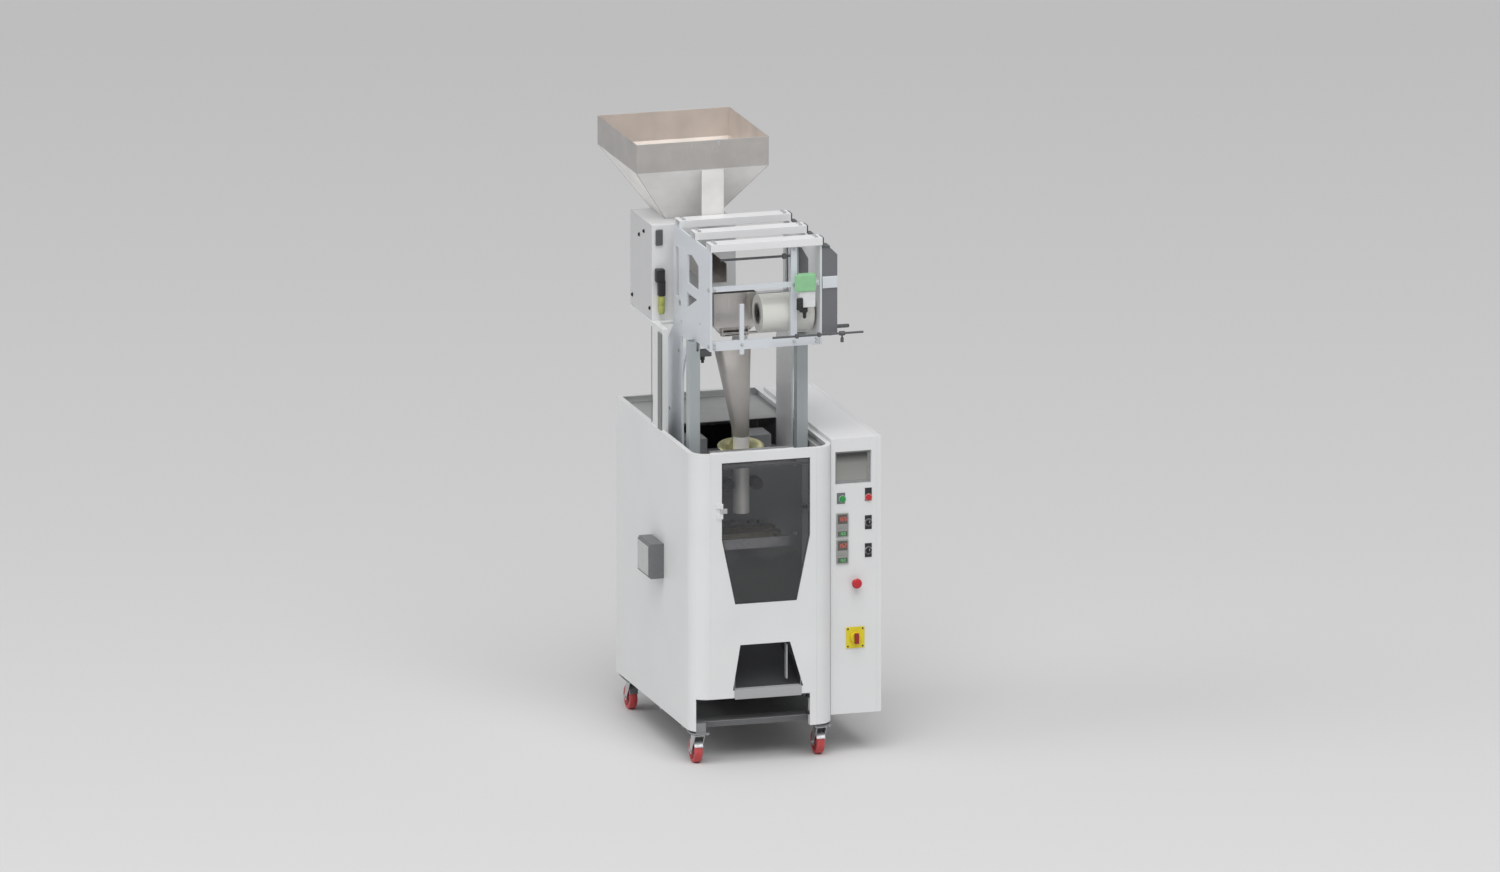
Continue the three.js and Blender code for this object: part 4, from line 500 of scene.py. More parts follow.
# Hopper: a square stainless bin with a folded rim over a pyramid, welded along its corners, on a
# short spout over the feeder's trough and a front bracket on the housing.
def strip(name, points, thickness, material, body, sides=8):
    """A bar or bead of round section along a run of points."""
    curve = bpy.data.curves.new(name, "CURVE")
    curve.dimensions = "3D"
    curve.bevel_depth = thickness / 2
    curve.bevel_resolution = sides // 4
    curve.use_fill_caps = True
    run = curve.splines.new("POLY")
    run.points.add(len(points) - 1)
    for knot, point in zip(run.points, points):
        knot.co = (*point, 1)
    holder = bpy.data.objects.new(name + "_run", curve)
    bpy.context.collection.objects.link(holder)
    graph = bpy.context.evaluated_depsgraph_get()
    mesh = bpy.data.meshes.new_from_object(holder.evaluated_get(graph))
    bpy.data.objects.remove(holder)
    return made(name, mesh, material, body)


def as_mesh(name, work):
    """Ends the work on a form and keeps it as a mesh."""
    mesh = bpy.data.meshes.new(name)
    work.to_mesh(mesh)
    work.free()
    return mesh


def block(name, low, high, material, body, edge=0.001, stands_for=()):
    """A machined or moulded block with rounded edges, given by two opposite corners."""
    work = bmesh.new()
    bmesh.ops.create_cube(work, size=1)
    size = [abs(b - a) for a, b in zip(low, high)]
    middle = (Vector(low) + Vector(high)) / 2
    shape = Matrix.Translation(middle) @ Matrix.Diagonal((*size, 1))
    bmesh.ops.transform(work, matrix=shape, verts=work.verts)
    return made(name, as_mesh(name, work), material, body, edge, stands_for)


def fixed(name, low, high, material, edge=0.001):
    """A block on the machine's own body, its corners measured in millimetres on the cabinet."""
    return block(name, spot(*low), spot(*high), material, "machine", edge)


hopper_skin = dressed("hopper", cone_steel, 0.0008)
fixed("hopper_clip", (259, 531, 2352), (271, 536, 2377.5), zinc)
pale_sheet_and_painted_light_steel = brushed("pale_sheet_and_painted_light_steel", (0.96, 0.945, 0.925), 0.5, (1, 1, 1), 0.1)
lining_steel = brushed("lining_steel", (0.74, 0.67, 0.615), 0.5, (1, 1, 1), 0.3)
hopper_x, hopper_y, hopper_half = 200, 800, 267.5
hopper_rim_bottom, hopper_rim_top = 2261, 2376
bracket_behind, cone_joint = 540, 2270


def is_cone_outside(middle, way):
    """The pyramid's faces under the rim, near white as painted light, and those of the pale front
    bracket.
    """
    return middle.z < cone_joint and (way.z < -0.2 or middle.y < bracket_behind)


def is_bin_inside(middle, way):
    """The warm faces inside the rim and the pyramid."""
    inward = way.dot(Vector((hopper_x, hopper_y, 0)) - middle * Vector((1, 1, 0))) > 20
    return 0.2 < way.z < 0.97 or abs(way.z) < 0.2 and middle.z > hopper_rim_bottom + 1 and inward


# The pyramid's outside under the rim is painted near white as painted light; the front bracket shares
# this pale finish.
recoated(hopper_skin, pale_sheet_and_painted_light_steel, is_cone_outside)
recoated(hopper_skin, lining_steel, is_bin_inside)
hopper_neck, hopper_neck_half = 1937, 32
hem_height, hem_wall = 13, 1.1
for side, (dx, dy) in {"front": (0, -1), "back": (0, 1), "left": (-1, 0), "right": (1, 0)}.items():
    reach = hopper_half + hem_wall
    low = spot(hopper_x + dx * hopper_half - abs(dy) * reach,
               hopper_y + dy * hopper_half - abs(dx) * reach, hopper_rim_top - hem_height)
    high = spot(hopper_x + dx * reach + abs(dy) * reach, hopper_y + dy * reach + abs(dx) * reach,
                hopper_rim_top)
    block(f"hopper_hem_{side}", low, high, rim_steel, "machine", 0.0005)
for number, (dx, dy) in enumerate(((-1, -1), (1, -1), (1, 1), (-1, 1))):
    seam = [spot(hopper_x + dx * hopper_neck_half, hopper_y + dy * hopper_neck_half, hopper_neck)]
    seam.append(spot(hopper_x + dx * hopper_half, hopper_y + dy * hopper_half, hopper_rim_bottom))
    seam.append(spot(hopper_x + dx * hopper_half, hopper_y + dy * hopper_half,
                     hopper_rim_top - hem_height))
    strip(f"hopper_weld_{number}", seam, 0.0024, cone_steel, "machine")


# Product path below it: trough, weigh bucket and its flap are folded from the same sheet, the funnel
# is rolled from round to square, and its top edge is turned over a wire.
def lofted(name, rings, wall, material, body, stands_for=()):
    """A rolled or spun sheet through rings of as many points each, with a real wall inside it."""
    count = len(rings[0])
    corners = [tuple(point) for ring in rings for point in ring]
    faces = []
    for row in range(len(rings) - 1):
        for step in range(count):
            first = row * count + step
            second = row * count + (step + 1) % count
            faces.append((first, second, second + count, first + count))
    mesh = bpy.data.meshes.new(name)
    mesh.from_pydata(corners, [], faces)
    piece = made(name, mesh, material, body, 0, stands_for)
    shell = piece.modifiers.new("sheet", "SOLIDIFY")
    shell.thickness = wall
    shell.offset = -1
    return piece


def round_ring(x, y, radius, z, steps):
    """Points round a circle."""
    turns = [2 * math.pi * step / steps for step in range(steps)]
    return [spot(x + radius * math.cos(turn), y + radius * math.sin(turn), z) for turn in turns]


def square_ring(x, y, half_width, half_depth, z, steps, corner):
    """Points round a rectangle with rounded corners, at the same angles as those of a circle."""
    points = []
    power = 2 / corner
    for step in range(steps):
        turn = 2 * math.pi * step / steps
        c, s = math.cos(turn), math.sin(turn)
        stretch = (abs(c) ** power + abs(s) ** power) ** (-1 / power)
        points.append(spot(x + half_width * c * stretch, y + half_depth * s * stretch, z))
    return points


funnel_steps = 72
tube_x, tube_y, tube_radius, tube_top, tube_bottom = 290, 308, 32, 1240, 935
funnel_top, funnel_x = 1608.3, 251.5
funnel_rings = [
    round_ring(tube_x, tube_y, 29.7, 1210.3, funnel_steps),
    round_ring(tube_x, tube_y, 29.7, 1239.8, funnel_steps),
    round_ring(tube_x, tube_y, 32, 1241.5, funnel_steps),
    square_ring(funnel_x, tube_y, 62.5, 60, funnel_top - 1, funnel_steps, 0.12),
]
funnel_steel = brushed("funnel_steel", (0.50, 0.475, 0.455), 0.5, upright_grain, 0.35)
lofted("funnel_cone", funnel_rings, 0.002, funnel_steel, "machine", ("product_funnel",))
funnel_wire = square_ring(funnel_x, tube_y, 62, 59.5, funnel_top - 1.6, funnel_steps, 0.12)
strip("funnel_wire", funnel_wire + funnel_wire[:1], 0.003, cone_steel, "machine")
for node in ("weigh_bucket", "feeder_trough", "bucket_flap"):
    dressed(node, cone_steel, 0.0007)


# Turned pieces share one lathe: a profile of radii and distances along an axis, from a named start.
def turned(name, profile, start, axis, material, body, edge=0.0, steps=48, stands_for=()):
    """A turned piece. Its profile holds (radius, distance) in millimetres from start along axis."""
    work = bmesh.new()
    rows = []
    for radius, distance in profile:
        if radius == 0:
            rows.append([work.verts.new((0, 0, distance / 1000))])
            continue
        turns = [2 * math.pi * step / steps for step in range(steps)]
        rows.append([work.verts.new((radius * math.cos(t) / 1000, radius * math.sin(t) / 1000,
                                     distance / 1000)) for t in turns])
    closed = profile[0] == profile[-1]
    if closed:
        bmesh.ops.delete(work, geom=rows[-1], context="VERTS")
        rows[-1] = rows[0]
    for lower, upper in zip(rows, rows[1:]):
        for step in range(steps):
            ring = [lower[step % len(lower)], lower[(step + 1) % len(lower)]]
            ring += [upper[(step + 1) % len(upper)], upper[step % len(upper)]]
            corners = list(dict.fromkeys(ring))
            if len(corners) > 2:
                work.faces.new(corners)
    bmesh.ops.recalc_face_normals(work, faces=work.faces)
    turn = Vector((0, 0, 1)).rotation_difference(Vector(axis)).to_matrix().to_4x4()
    bmesh.ops.transform(work, matrix=Matrix.Translation(start) @ turn, verts=work.verts)
    mesh = as_mesh(name, work)
    piece = made(name, mesh, material, body, edge, stands_for)
    if not edge:
        mesh.set_sharp_from_angle(angle=math.radians(32))
    return piece


ALONG_X, ALONG_Y, UP = (1, 0, 0), (0, 1, 0), (0, 0, 1)
TO_FRONT, DOWN = (0, -1, 0), (0, 0, -1)
tube_steel = brushed("tube_steel", (0.90, 0.875, 0.85), 0.45, upright_grain, 0.3)
tube_wall = 2
tube_inner = tube_radius - tube_wall
tube_length = tube_top - tube_bottom
turned("forming_tube_pipe", [(tube_inner, 0), (tube_radius, 0), (tube_radius, tube_length),
                             (tube_inner, tube_length), (tube_inner, 0)],
       spot(tube_x, tube_y, tube_bottom), UP, tube_steel, "machine", 0.0004, 64,
       ("forming_tube",))
arm_top, arm_thickness, arm_half, arm_back, leg_bottom = 1236, 8, 12, 395, 1160.3
fixed("forming_tube_arm", (tube_x - arm_half, tube_y + tube_inner + 1, arm_top - arm_thickness),
      (tube_x + arm_half, arm_back, arm_top), cone_steel)
fixed("forming_tube_leg", (tube_x - arm_half, arm_back - arm_thickness, leg_bottom),
      (tube_x + arm_half, arm_back, arm_top - arm_thickness), cone_steel)
arm_screws = [spot(tube_x + side * 6, arm_back - 14, arm_top) for side in (-1, 1)]
grown("arm_screws", arm_screws, hexagon_heads, stud(0.004, 0.003, facing_up), zinc)


# Forming collar: a thin shoulder of pale bronze, spun and hammered so that flat film turns up over it
# and closes round the tube. Its lip rises and leans towards the back.
collar_neck, collar_base, collar_half_width, collar_half_depth = 33.5, 1160.3, 90, 56
collar_set_back, collar_rise, collar_back_rise, collar_wall = 6, 40, 20, 2
collar_steps, collar_rows = 96, 14


def collar_ring(share):
    """One line round the collar, from its neck at 0 to its lip at 1."""
    flare = 1 - math.cos(share * math.pi / 2)
    half_width = collar_neck + (collar_half_width - collar_neck) * flare + collar_wall
    half_depth = collar_neck + (collar_half_depth - collar_neck) * flare + collar_wall
    rise = collar_base + collar_rise * math.sin(share * math.pi / 2)
    points = []
    for step in range(collar_steps):
        c, s = math.cos(2 * math.pi * step / collar_steps), math.sin(2 * math.pi * step / collar_steps)
        back = tube_y + collar_set_back * flare + half_depth * s
        points.append(spot(tube_x + half_width * c, back, rise + collar_back_rise * flare * s))
    return points


pale_bronze, tree, shader, place = finish("pale_bronze", (0.66, 0.63, 0.36), 0.36, 1.0)
tinted(tree, shader, noise(tree, place, 30, detail=5), (0.52, 0.52, 0.30), (0.70, 0.67, 0.40))
worn(tree, shader, noise(tree, place, 160, (1, 1, 4)), 0.28, 0.46)
relief(tree, shader, noise(tree, place, 220, (1, 1, 5)), 0.15, 0.0001)
lofted("collar_shoulder", [collar_ring(row / collar_rows) for row in range(collar_rows + 1)], 0.002,
       pale_bronze, "machine", ("forming_collar",))
collar_lip = collar_ring(1.0)
strip("collar_lip", collar_lip + collar_lip[:1], 0.0032, pale_bronze, "machine")


# Bag making inside the cabinet: dark painted plates carry a guide roller, two rubber pull rollers, a
# bronze back seal bar and two grooved bronze jaws on bright guide rods.
plate_paint = powder_coat("inner_plate_paint", (0.27, 0.275, 0.28), 0.5)
# The inner back plate is painted near black low down, grading up to its grey between about 0.77 and 0.92
# m with soft clouds, as painted shade low in the cabinet.
low_shade_plate_paint, tree, shader, place = finish("plate_paint_with_painted_low_shade", (0.27, 0.275, 0.28), 0.5)
low_shade_clouds = noise(tree, place, 16, detail=6)
low_shade_height = tree.nodes.new("ShaderNodeSeparateXYZ")
low_shade_level = tree.nodes.new("ShaderNodeMath")
low_shade_level.operation = "MULTIPLY_ADD"
low_shade_level.inputs[1].default_value = 0.14
low_shade_range = tree.nodes.new("ShaderNodeMapRange")
low_shade_range.inputs["From Min"].default_value = 0.77
low_shade_range.inputs["From Max"].default_value = 0.92
low_shade_mix = tree.nodes.new("ShaderNodeMix")
low_shade_mix.data_type = "RGBA"
low_shade_mix.inputs["A"].default_value = (0.10, 0.104, 0.10, 1)
low_shade_mix.inputs["B"].default_value = (0.28, 0.285, 0.295, 1)
tree.links.new(place, low_shade_height.inputs[0])
tree.links.new(low_shade_clouds, low_shade_level.inputs[0])
tree.links.new(low_shade_height.outputs["Z"], low_shade_level.inputs[2])
tree.links.new(low_shade_level.outputs[0], low_shade_range.inputs["Value"])
tree.links.new(low_shade_range.outputs[0], low_shade_mix.inputs["Factor"])
tree.links.new(low_shade_mix.outputs["Result"], shader.inputs["Base Color"])
relief(tree, shader, noise(tree, place, 620), 0.10, 0.0002)
dressed("inner_back_plate", low_shade_plate_paint)
dressed("forming_plate", dark_paint)
bright_steel = plated("ground_steel", (0.50, 0.50, 0.51), 0.34, 0.05)
guide_steel = plated("guide_steel", (0.30, 0.30, 0.31), 0.36, 0.25)
dressed("jaw_guides", guide_steel, 0.001)
worn_bronze = plated("worn_bronze", (0.24, 0.225, 0.17), 0.45, 0.3)
for node in ("front_jaw", "rear_jaw", "vertical_seal_bar"):
    dressed(node, worn_bronze, 0.0008)


def rubber(name, colour, roughness=0.7):
    """Matt rubber or polyurethane with a dusty, finely pitted skin."""
    material, tree, shader, place = finish(name, colour, roughness)
    dust = [min(1, channel * 1.25 + 0.02) for channel in colour]
    tinted(tree, shader, noise(tree, place, 38, detail=5), colour, dust)
    relief(tree, shader, noise(tree, place, 800), 0.25, 0.0002)
    return material


black_rubber = rubber("black_rubber", (0.028, 0.028, 0.03))
roller_length, roller_y, roller_z = 340, 172, 1202
guide_profile = [(0, -9), (6, -9), (6, 0), (19, 0), (20, 1.2), (20, roller_length - 1.2),
                 (19, roller_length)]
guide_profile += [(6, roller_length), (6, roller_length + 9), (0, roller_length + 9)]
turned("guide_roller_drum", guide_profile, spot(tube_x - roller_length / 2, roller_y, roller_z),
       ALONG_X, bright_steel, "guide_roller", stands_for=("guide_roller",))
pull_profile = [(0, 0), (6.5, 0), (8, -1), (22, -1), (24.2, 0.5)]
for groove in range(8):
    start = 3 + groove * 6
    pull_profile += [(25, start), (25, start + 4), (23.6, start + 4.6), (23.6, start + 5.4)]
pull_profile += [(24.2, 50.2), (22, 50.5), (6, 50.5), (6, 119), (0, 119)]
for side, offset in (("left", -58), ("right", 58)):
    node = side + "_pull_roller"
    turned(node + "_drum", pull_profile, spot(tube_x + offset, tube_y - 25, 1050), ALONG_Y,
           black_rubber, node, steps=40, stands_for=(node,))
plate_screws = [spot(x, 440, z) for x in (30, 550) for z in (220, 520, 800, 1080)]
grown("inner_plate_screws", plate_screws, hexagon_heads, stud(0.006, 0.004, facing_front),
      zinc)
deck_screws = [spot(x, y, 1160) for x in (52, 533) for y in (165, 380)]
grown("forming_plate_screws", deck_screws, hexagon_heads, stud(0.0055, 0.004, facing_up),
      zinc)
flange_screws = [spot(x, 429.7, 850 + lift) for x in (185, 225, 355, 395) for lift in (-12, 12)]
grown("jaw_flange_screws", flange_screws, hexagon_heads,
      stud(0.004, 0.003, facing_front), black_oxide, "machine")


# Chute: a folded sheet down from the inner plate and out over the sill, its slide near black as painted
# shade inside the cabinet and its lip pale grey. A plain pan closes the cabinet below it, and a mat
# hangs behind the louvres.
chute_painted_shade = powder_coat("chute_painted_shade", (0.05, 0.052, 0.055), 0.5)
chute_grey = powder_coat("chute_grey", (0.42, 0.425, 0.43), 0.45)
chute = dressed("discharge_chute", chute_painted_shade)
recoated(chute, chute_grey, lambda middle, way: middle.y < 10)
fixed("chute_guide", (386, 14, 330), (391, 40, 468), chute_grey)
fixed("belly_pan", (46, 60, 166), (534, 980, 169), plate_paint, 0.0008)
mat_grey = rubber("filter_mat", (0.06, 0.06, 0.062), 0.9)
fixed("louvre_mat", (112, 1040, 868), (468, 1046.6, 1108), mat_grey)


# Window: a clear, lightly smoked sheet that fills the opening flush, with a bright hinge on its left,
# a black knob on its right and a thin black edging.
smoked, tree, shader, place = finish("smoked_sheet", (0.14, 0.145, 0.15), 0.04)
shader.inputs["Alpha"].default_value = 0.15
shader.inputs["IOR"].default_value = 1.5
tinted(tree, shader, noise(tree, place, 2.5), (0.12, 0.125, 0.13), (0.17, 0.175, 0.18))
worn(tree, shader, noise(tree, place, 5, detail=4), 0.03, 0.09)
window_points = [(121.5, 1211.5), (121.5, 905), (175.2, 646.5), (422.8, 646.5), (476.5, 905),
                 (476.5, 1211.5)]


def sheet_cut(name, points, front, back, material, body, edge, stands_for=()):
    """A flat sheet cut to an outline in x and z, standing between two depths."""
    work = bmesh.new()
    near = [work.verts.new(spot(x, front, z)) for x, z in points]
    far = [work.verts.new(spot(x, back, z)) for x, z in points]
    work.faces.new(near)
    work.faces.new(list(reversed(far)))
    for step in range(len(points)):
        after = (step + 1) % len(points)
        work.faces.new((near[step], far[step], far[after], near[after]))
    bmesh.ops.recalc_face_normals(work, faces=work.faces)
    return made(name, as_mesh(name, work), material, body, edge, stands_for)


sheet_cut("window_pane", window_points, -1, 4, smoked, "window_door", 0.0008,
          ("window_door",))
inner_edge = [(x + (3 if x < 290 else -3), z + (3 if z < 700 else -3 if z > 1200 else 0)) for x,
              z in window_points]
edging_path = [spot(x, 4.6, z) for x, z in inner_edge]
strip("window_edging", edging_path + edging_path[:1], 0.004, black_rubber, "window_door")


def moulded(name, colour, roughness=0.4):
    """Moulded plastic: an even colour with a fine spark-eroded grain."""
    material, tree, shader, place = finish(name, colour, roughness)
    shade = [channel * 0.9 for channel in colour]
    tinted(tree, shader, noise(tree, place, 45), shade, colour)
    relief(tree, shader, noise(tree, place, 1500), 0.12, 0.0001)
    return material


black_plastic = moulded("black_plastic", (0.022, 0.022, 0.024), 0.42)
knob_profile = [(0, 0), (6, 0), (6.5, 3), (6, 7), (9.6, 10), (11, 13), (10.6, 16), (8, 18), (0, 18.4)]
turned("window_knob", knob_profile, spot(454, -0.6, 1022), TO_FRONT, black_plastic, "window_door")
turned("window_hinge_barrel", [(2.8, 0), (5, 0), (5, 20), (2.8, 20), (2.8, 0)], spot(119, -6, 1012), UP,
       zinc, "window_door", 0.0004, 32)
block("window_hinge_leaf", spot(120, -4.6, 1012), spot(141, -0.6, 1032), zinc, "window_door",
      0.0006)
leaf_screws = [spot(x, -4.6, 1022) for x in (128, 136)]
grown("window_leaf_screws", leaf_screws, round_heads, stud(0.0026, 0.0012, facing_front),
      zinc, "window_door")


# Tower: two laser-cut plates with a bluish white coat stand on the inner shelf and carry three folded
# bars, the front frame, the beam and a grey duct, all bolted. Dark rods cross the upper bay and the
# front, and a small valve beside the bucket works its flap.
tower_coat = powder_coat("bluish_white_coat", (0.70, 0.735, 0.775), 0.36)
# The brighter white is the bars' own coat, and on other faces it is painted light.
bar_white_and_painted_light = powder_coat("bar_white_and_painted_light_coat", (0.83, 0.835, 0.84), 0.42)
for node in ("left_tower_plate", "right_tower_plate", "front_frame"):
    skin = dressed(node, tower_coat)
    # Faces facing left on the right of the bay, the right plate's inner face, take the brighter white as
    # painted light where they stand in shade.
    recoated(skin, bar_white_and_painted_light, lambda middle, way: middle.x > 528 and way.x < -0.9)
for node in ("front_top_bar", "middle_top_bar", "rear_top_bar"):
    dressed(node, bar_white_and_painted_light, 0.0014)
post_coat = powder_coat("grey_green_coat", (0.42, 0.46, 0.47), 0.36)
for node in ("left_post", "right_post"):
    dressed(node, post_coat, 0.0014)
duct_coat = powder_coat("duct_grey", (0.165, 0.17, 0.18), 0.45)
duct = dressed("side_duct", duct_coat, 0.0015)
duct_front, band_low, band_high = 42.5, 1870, 1925
recoated(duct,
         tower_coat, lambda middle, way: middle.y < duct_front and band_low < middle.z < band_high)
clamp_coat = powder_coat("clamp_grey", (0.10, 0.105, 0.11), 0.5)
for bar, y in (("front", 66), ("middle", 280), ("rear", 495)):
    fixed(f"{bar}_bar_clamp", (539.4, y - 26, 2036), (546, y + 26, 2077), clamp_coat)
    fixed(f"{bar}_bar_foot", (546, y - 26, 2035.2), (570, y + 26, 2043), clamp_coat)
rod_y, rod_z = 67, 2007
strip("bay_rod", [spot(134, rod_y, rod_z), spot(415, rod_y, rod_z)], 0.010, clamp_coat, "machine",
      16)
turned("bay_rod_stop", [(5, 0), (10, 0), (11, 1), (11, 13), (10, 14), (5, 14), (5, 0)],
       spot(386, rod_y, rod_z), ALONG_X, clamp_coat, "machine", steps=28)
turned("flap_shaft_grip", [(0, 0), (6, 0), (7.5, 3), (7.5, 60), (6, 63), (0, 63)], spot(646, 246, 1668),
       ALONG_X, clamp_coat, body_of_node["bucket_flap"], steps=28)
guide_y, guide_z = 12.5, 1697
strip("guide_rod", [spot(330, guide_y, guide_z), spot(697, guide_y, guide_z)], 0.009, clamp_coat,
      "machine", 16)
for label, x in (("left", 428), ("right", 518)):
    fixed(f"guide_rod_{label}_clamp", (x - 6, guide_y - 7, guide_z - 8), (x + 6, 21.3, guide_z + 8),
          clamp_coat, 0.0015)
turned("guide_rod_collar", [(0, 0), (8, 0), (9, 1), (9, 21), (8, 22), (0, 22)],
       spot(600, guide_y, guide_z), ALONG_X, clamp_coat, "machine", steps=28)
turned("guide_rod_screw", [(0, 0), (3.5, 0), (3.5, 12), (6.5, 13), (6.5, 30), (0, 30)],
       spot(611, guide_y, guide_z - 5), DOWN, clamp_coat, "machine", steps=24)
fixed("bucket_valve", (100.8, 238, 1584), (150, 262, 1612), clamp_coat, 0.003)
turned("bucket_valve_port", [(0, 0), (9, 0), (9, 14), (6, 15), (6, 26), (0, 26)],
       spot(116, 250, 1584.5), DOWN, black_plastic, "machine", steps=24)
dressed("weigh_beam", zinc)
bolt_radius, bolt_height = 0.0065, 0.0045
bar_bolts = [spot(x, y, 2078.3) for x in (108, 517) for y in (50, 82, 264, 297, 479, 511)]
grown("bar_bolts", bar_bolts, hexagon_heads, stud(bolt_radius, bolt_height, facing_up), zinc)
frame_bolts = [spot(x, 51, z) for x in (106, 519) for z in (1660, 1675, 1894)]
frame_bolts += [spot(428, 51, z) for z in (1668, 1894, 2035)] + [spot(217, 51, 1668)]
grown("frame_bolts", frame_bolts, hexagon_heads, stud(0.005, 0.0035, facing_front),
      zinc)
plate_bolt_places = [(62, 1667), (62, 1893), (455, 1750), (455, 1762), (470, 1560), (600, 1300),
                     (600, 1180)]
for x, turn, side in ((86, facing_left, "left"), (539, facing_right, "right")):
    places = [spot(x, y, z) for y, z in plate_bolt_places if side == "left" or z < 1650]
    grown(f"{side}_plate_bolts", places, hexagon_heads, stud(bolt_radius, bolt_height, turn), zinc)


# Sensor box on the front frame: a green cap over a white body, with a black lens.
green_plastic = moulded("green_plastic", (0.30, 0.62, 0.33), 0.4)
pale_plastic = moulded("pale_plastic", (0.82, 0.83, 0.83), 0.35)
sensor_left, sensor_right, sensor_front, sensor_back = 442, 505, 21, 51
sensor_bottom, sensor_split, sensor_top = 1808, 1872, 1938
fixed("sensor_face", (421, 13, sensor_split + 0.5), (sensor_right + 1, 20.2, sensor_top + 1),
      green_plastic, 0.003)
fixed("sensor_cap", (sensor_left - 1, sensor_front - 1, sensor_split),
      (sensor_right + 1, sensor_back - 0.4, sensor_top + 1), green_plastic, 0.003)
fixed("sensor_body", (sensor_left - 1, sensor_front - 1, sensor_bottom - 1),
      (sensor_right + 1, sensor_back - 0.4, sensor_split - 0.6), pale_plastic, 0.003)
fixed("sensor_eye", (427, 9, 1799), (454, 20.8, 1849), black_plastic, 0.007)
lens_profile = [(0, 0), (9, 0), (9, 3), (7.8, 4), (6.6, 3.2), (0, 2)]
turned("sensor_lens", lens_profile, spot(440.5, 9.4, 1826), TO_FRONT, black_plastic, "machine")
fixed("sensor_foot", (446, 25, 1786), (476, 49, 1806.8), black_plastic, 0.003)
gland_profile = [(0, 0), (8, 0), (8, 8), (6, 9), (6, 13), (7.5, 14), (6.5, 22), (3.2, 26), (0, 26)]
turned("sensor_gland", gland_profile, spot(466, 37, 1786), DOWN, black_plastic, "machine",
       steps=24)


# Film: a roll of white film on a grey board core, slid over two dark chucks on the shaft. The shaft
# crosses the bay and is clamped in the right tower plate.
roll_y, roll_z, roll_left, roll_width = 155, 1764, 311, 210
film_white, tree, shader, place = finish("wound_film", (0.80, 0.80, 0.755), 0.32)
film_centre = tree.nodes.new("ShaderNodeMapping")
film_centre.inputs["Location"].default_value = [-value for value in spot(0, roll_y, roll_z)]
film_layers = tree.nodes.new("ShaderNodeTexWave")
film_layers.wave_type = "RINGS"
film_layers.rings_direction = "X"
film_layers.inputs["Scale"].default_value = 160
film_layers.inputs["Distortion"].default_value = 1.2
tree.links.new(place, film_centre.inputs["Vector"])
tree.links.new(film_centre.outputs[0], film_layers.inputs["Vector"])
tinted(tree, shader, film_layers.outputs["Fac"], (0.76, 0.76, 0.71), (0.82, 0.82, 0.78))
relief(tree, shader, film_layers.outputs["Fac"], 0.15, 0.0002)
shader.inputs["Subsurface Weight"].default_value = 0.08
film_profile = [(43, 0), (73.8, 0), (75, 1), (75, roll_width - 1), (73.8, roll_width), (43, roll_width),
                (43, 0)]
turned("film_winding", film_profile, spot(roll_left, roll_y, roll_z), ALONG_X, film_white, "film_roll",
       steps=72, stands_for=("film_roll",))
core_board = moulded("core_board", (0.42, 0.40, 0.36), 0.8)
core_profile = [(38, -3), (42.8, -3), (42.8, roll_width + 3), (38, roll_width + 3), (38, -3)]
turned("film_core", core_profile, spot(roll_left, roll_y, roll_z), ALONG_X, core_board, "film_roll",
       0.0004, 56)
chuck, chuck_length, flange_start = 37.2, 30, 213.7
shaft_profile = [(0, -5), (12, -5), (14, -3), (14, 0), (35.5, 0), (chuck, 2), (chuck, 28),
                 (35.5, chuck_length), (14, chuck_length), (14, roll_width - chuck_length),
                 (35.5, roll_width - chuck_length), (chuck, roll_width - 28), (chuck, roll_width - 2),
                 (35.5, roll_width), (14, roll_width), (14, flange_start), (30, flange_start),
                 (30, flange_start + 6), (0, flange_start + 6)]
turned("roll_shaft_bar", shaft_profile, spot(roll_left, roll_y, roll_z), ALONG_X, black_oxide,
       "machine", 0.0005, 48, ("roll_shaft",))


# Feeder: a folded white housing on a stand guards the vibrator. A black plug with a yellow-green boot
# sits in its front, and two dark bolts hold the saddle from the left.
housing_painted_shade_coat = powder_coat("housing_side_painted_shade", (0.64, 0.645, 0.65), 0.45)
dressed("feeder_stand", white_coat)
# The housing takes the brighter white on its front and top as painted light, and a light grey on its
# left face as painted shade.
housing = dressed("feeder_housing", bar_white_and_painted_light)
recoated(housing, housing_painted_shade_coat, lambda middle, way: way.x < -0.9)
cast_paint = powder_coat("cast_grey_paint", (0.16, 0.17, 0.18), 0.55)
dressed("vibrator_drive", cast_paint, 0.002)
housing_bolts = [spot(12, y, z) for y, z in ((700, 1990), (765, 1962), (620, 1700), (860, 1700))]
grown("housing_bolts", housing_bolts, hexagon_heads, stud(bolt_radius, bolt_height, facing_left),
      black_oxide, "machine")
fixed("plug_head", (22, 562, 1812), (58, 592.8, 1864), black_plastic, 0.005)
fixed("plug_body", (33, 566, 1755), (61, 592.6, 1818), black_plastic, 0.004)
boot_green = moulded("boot_green", (0.42, 0.46, 0.12), 0.5)
boot_profile = [(0, 0), (10, 0), (12, 6), (13, 30), (11.5, 34), (13, 38), (13, 66), (11, 71), (0, 71)]
turned("plug_boot", boot_profile, spot(47, 579, 1684), UP, boot_green, "machine",
       steps=28)
fixed("housing_gland", (26, 584, 1955), (55, 592.8, 2018), clamp_coat, 0.004)
# A grey strip and a thin trim down the stand's column are painted shade in the gap between the column
# and the tower plate.
column_shade_grey = moulded("column_painted_shade_grey", (0.22, 0.235, 0.23), 0.5)
fixed("column_painted_shade_strip", (4, 442, 1225), (9.8, 488, 1636), column_shade_grey, 0.0015)
fixed("column_painted_shade_trim", (8.4, 583, 1225), (9.9, 589, 1636), column_shade_grey, 0.0004)


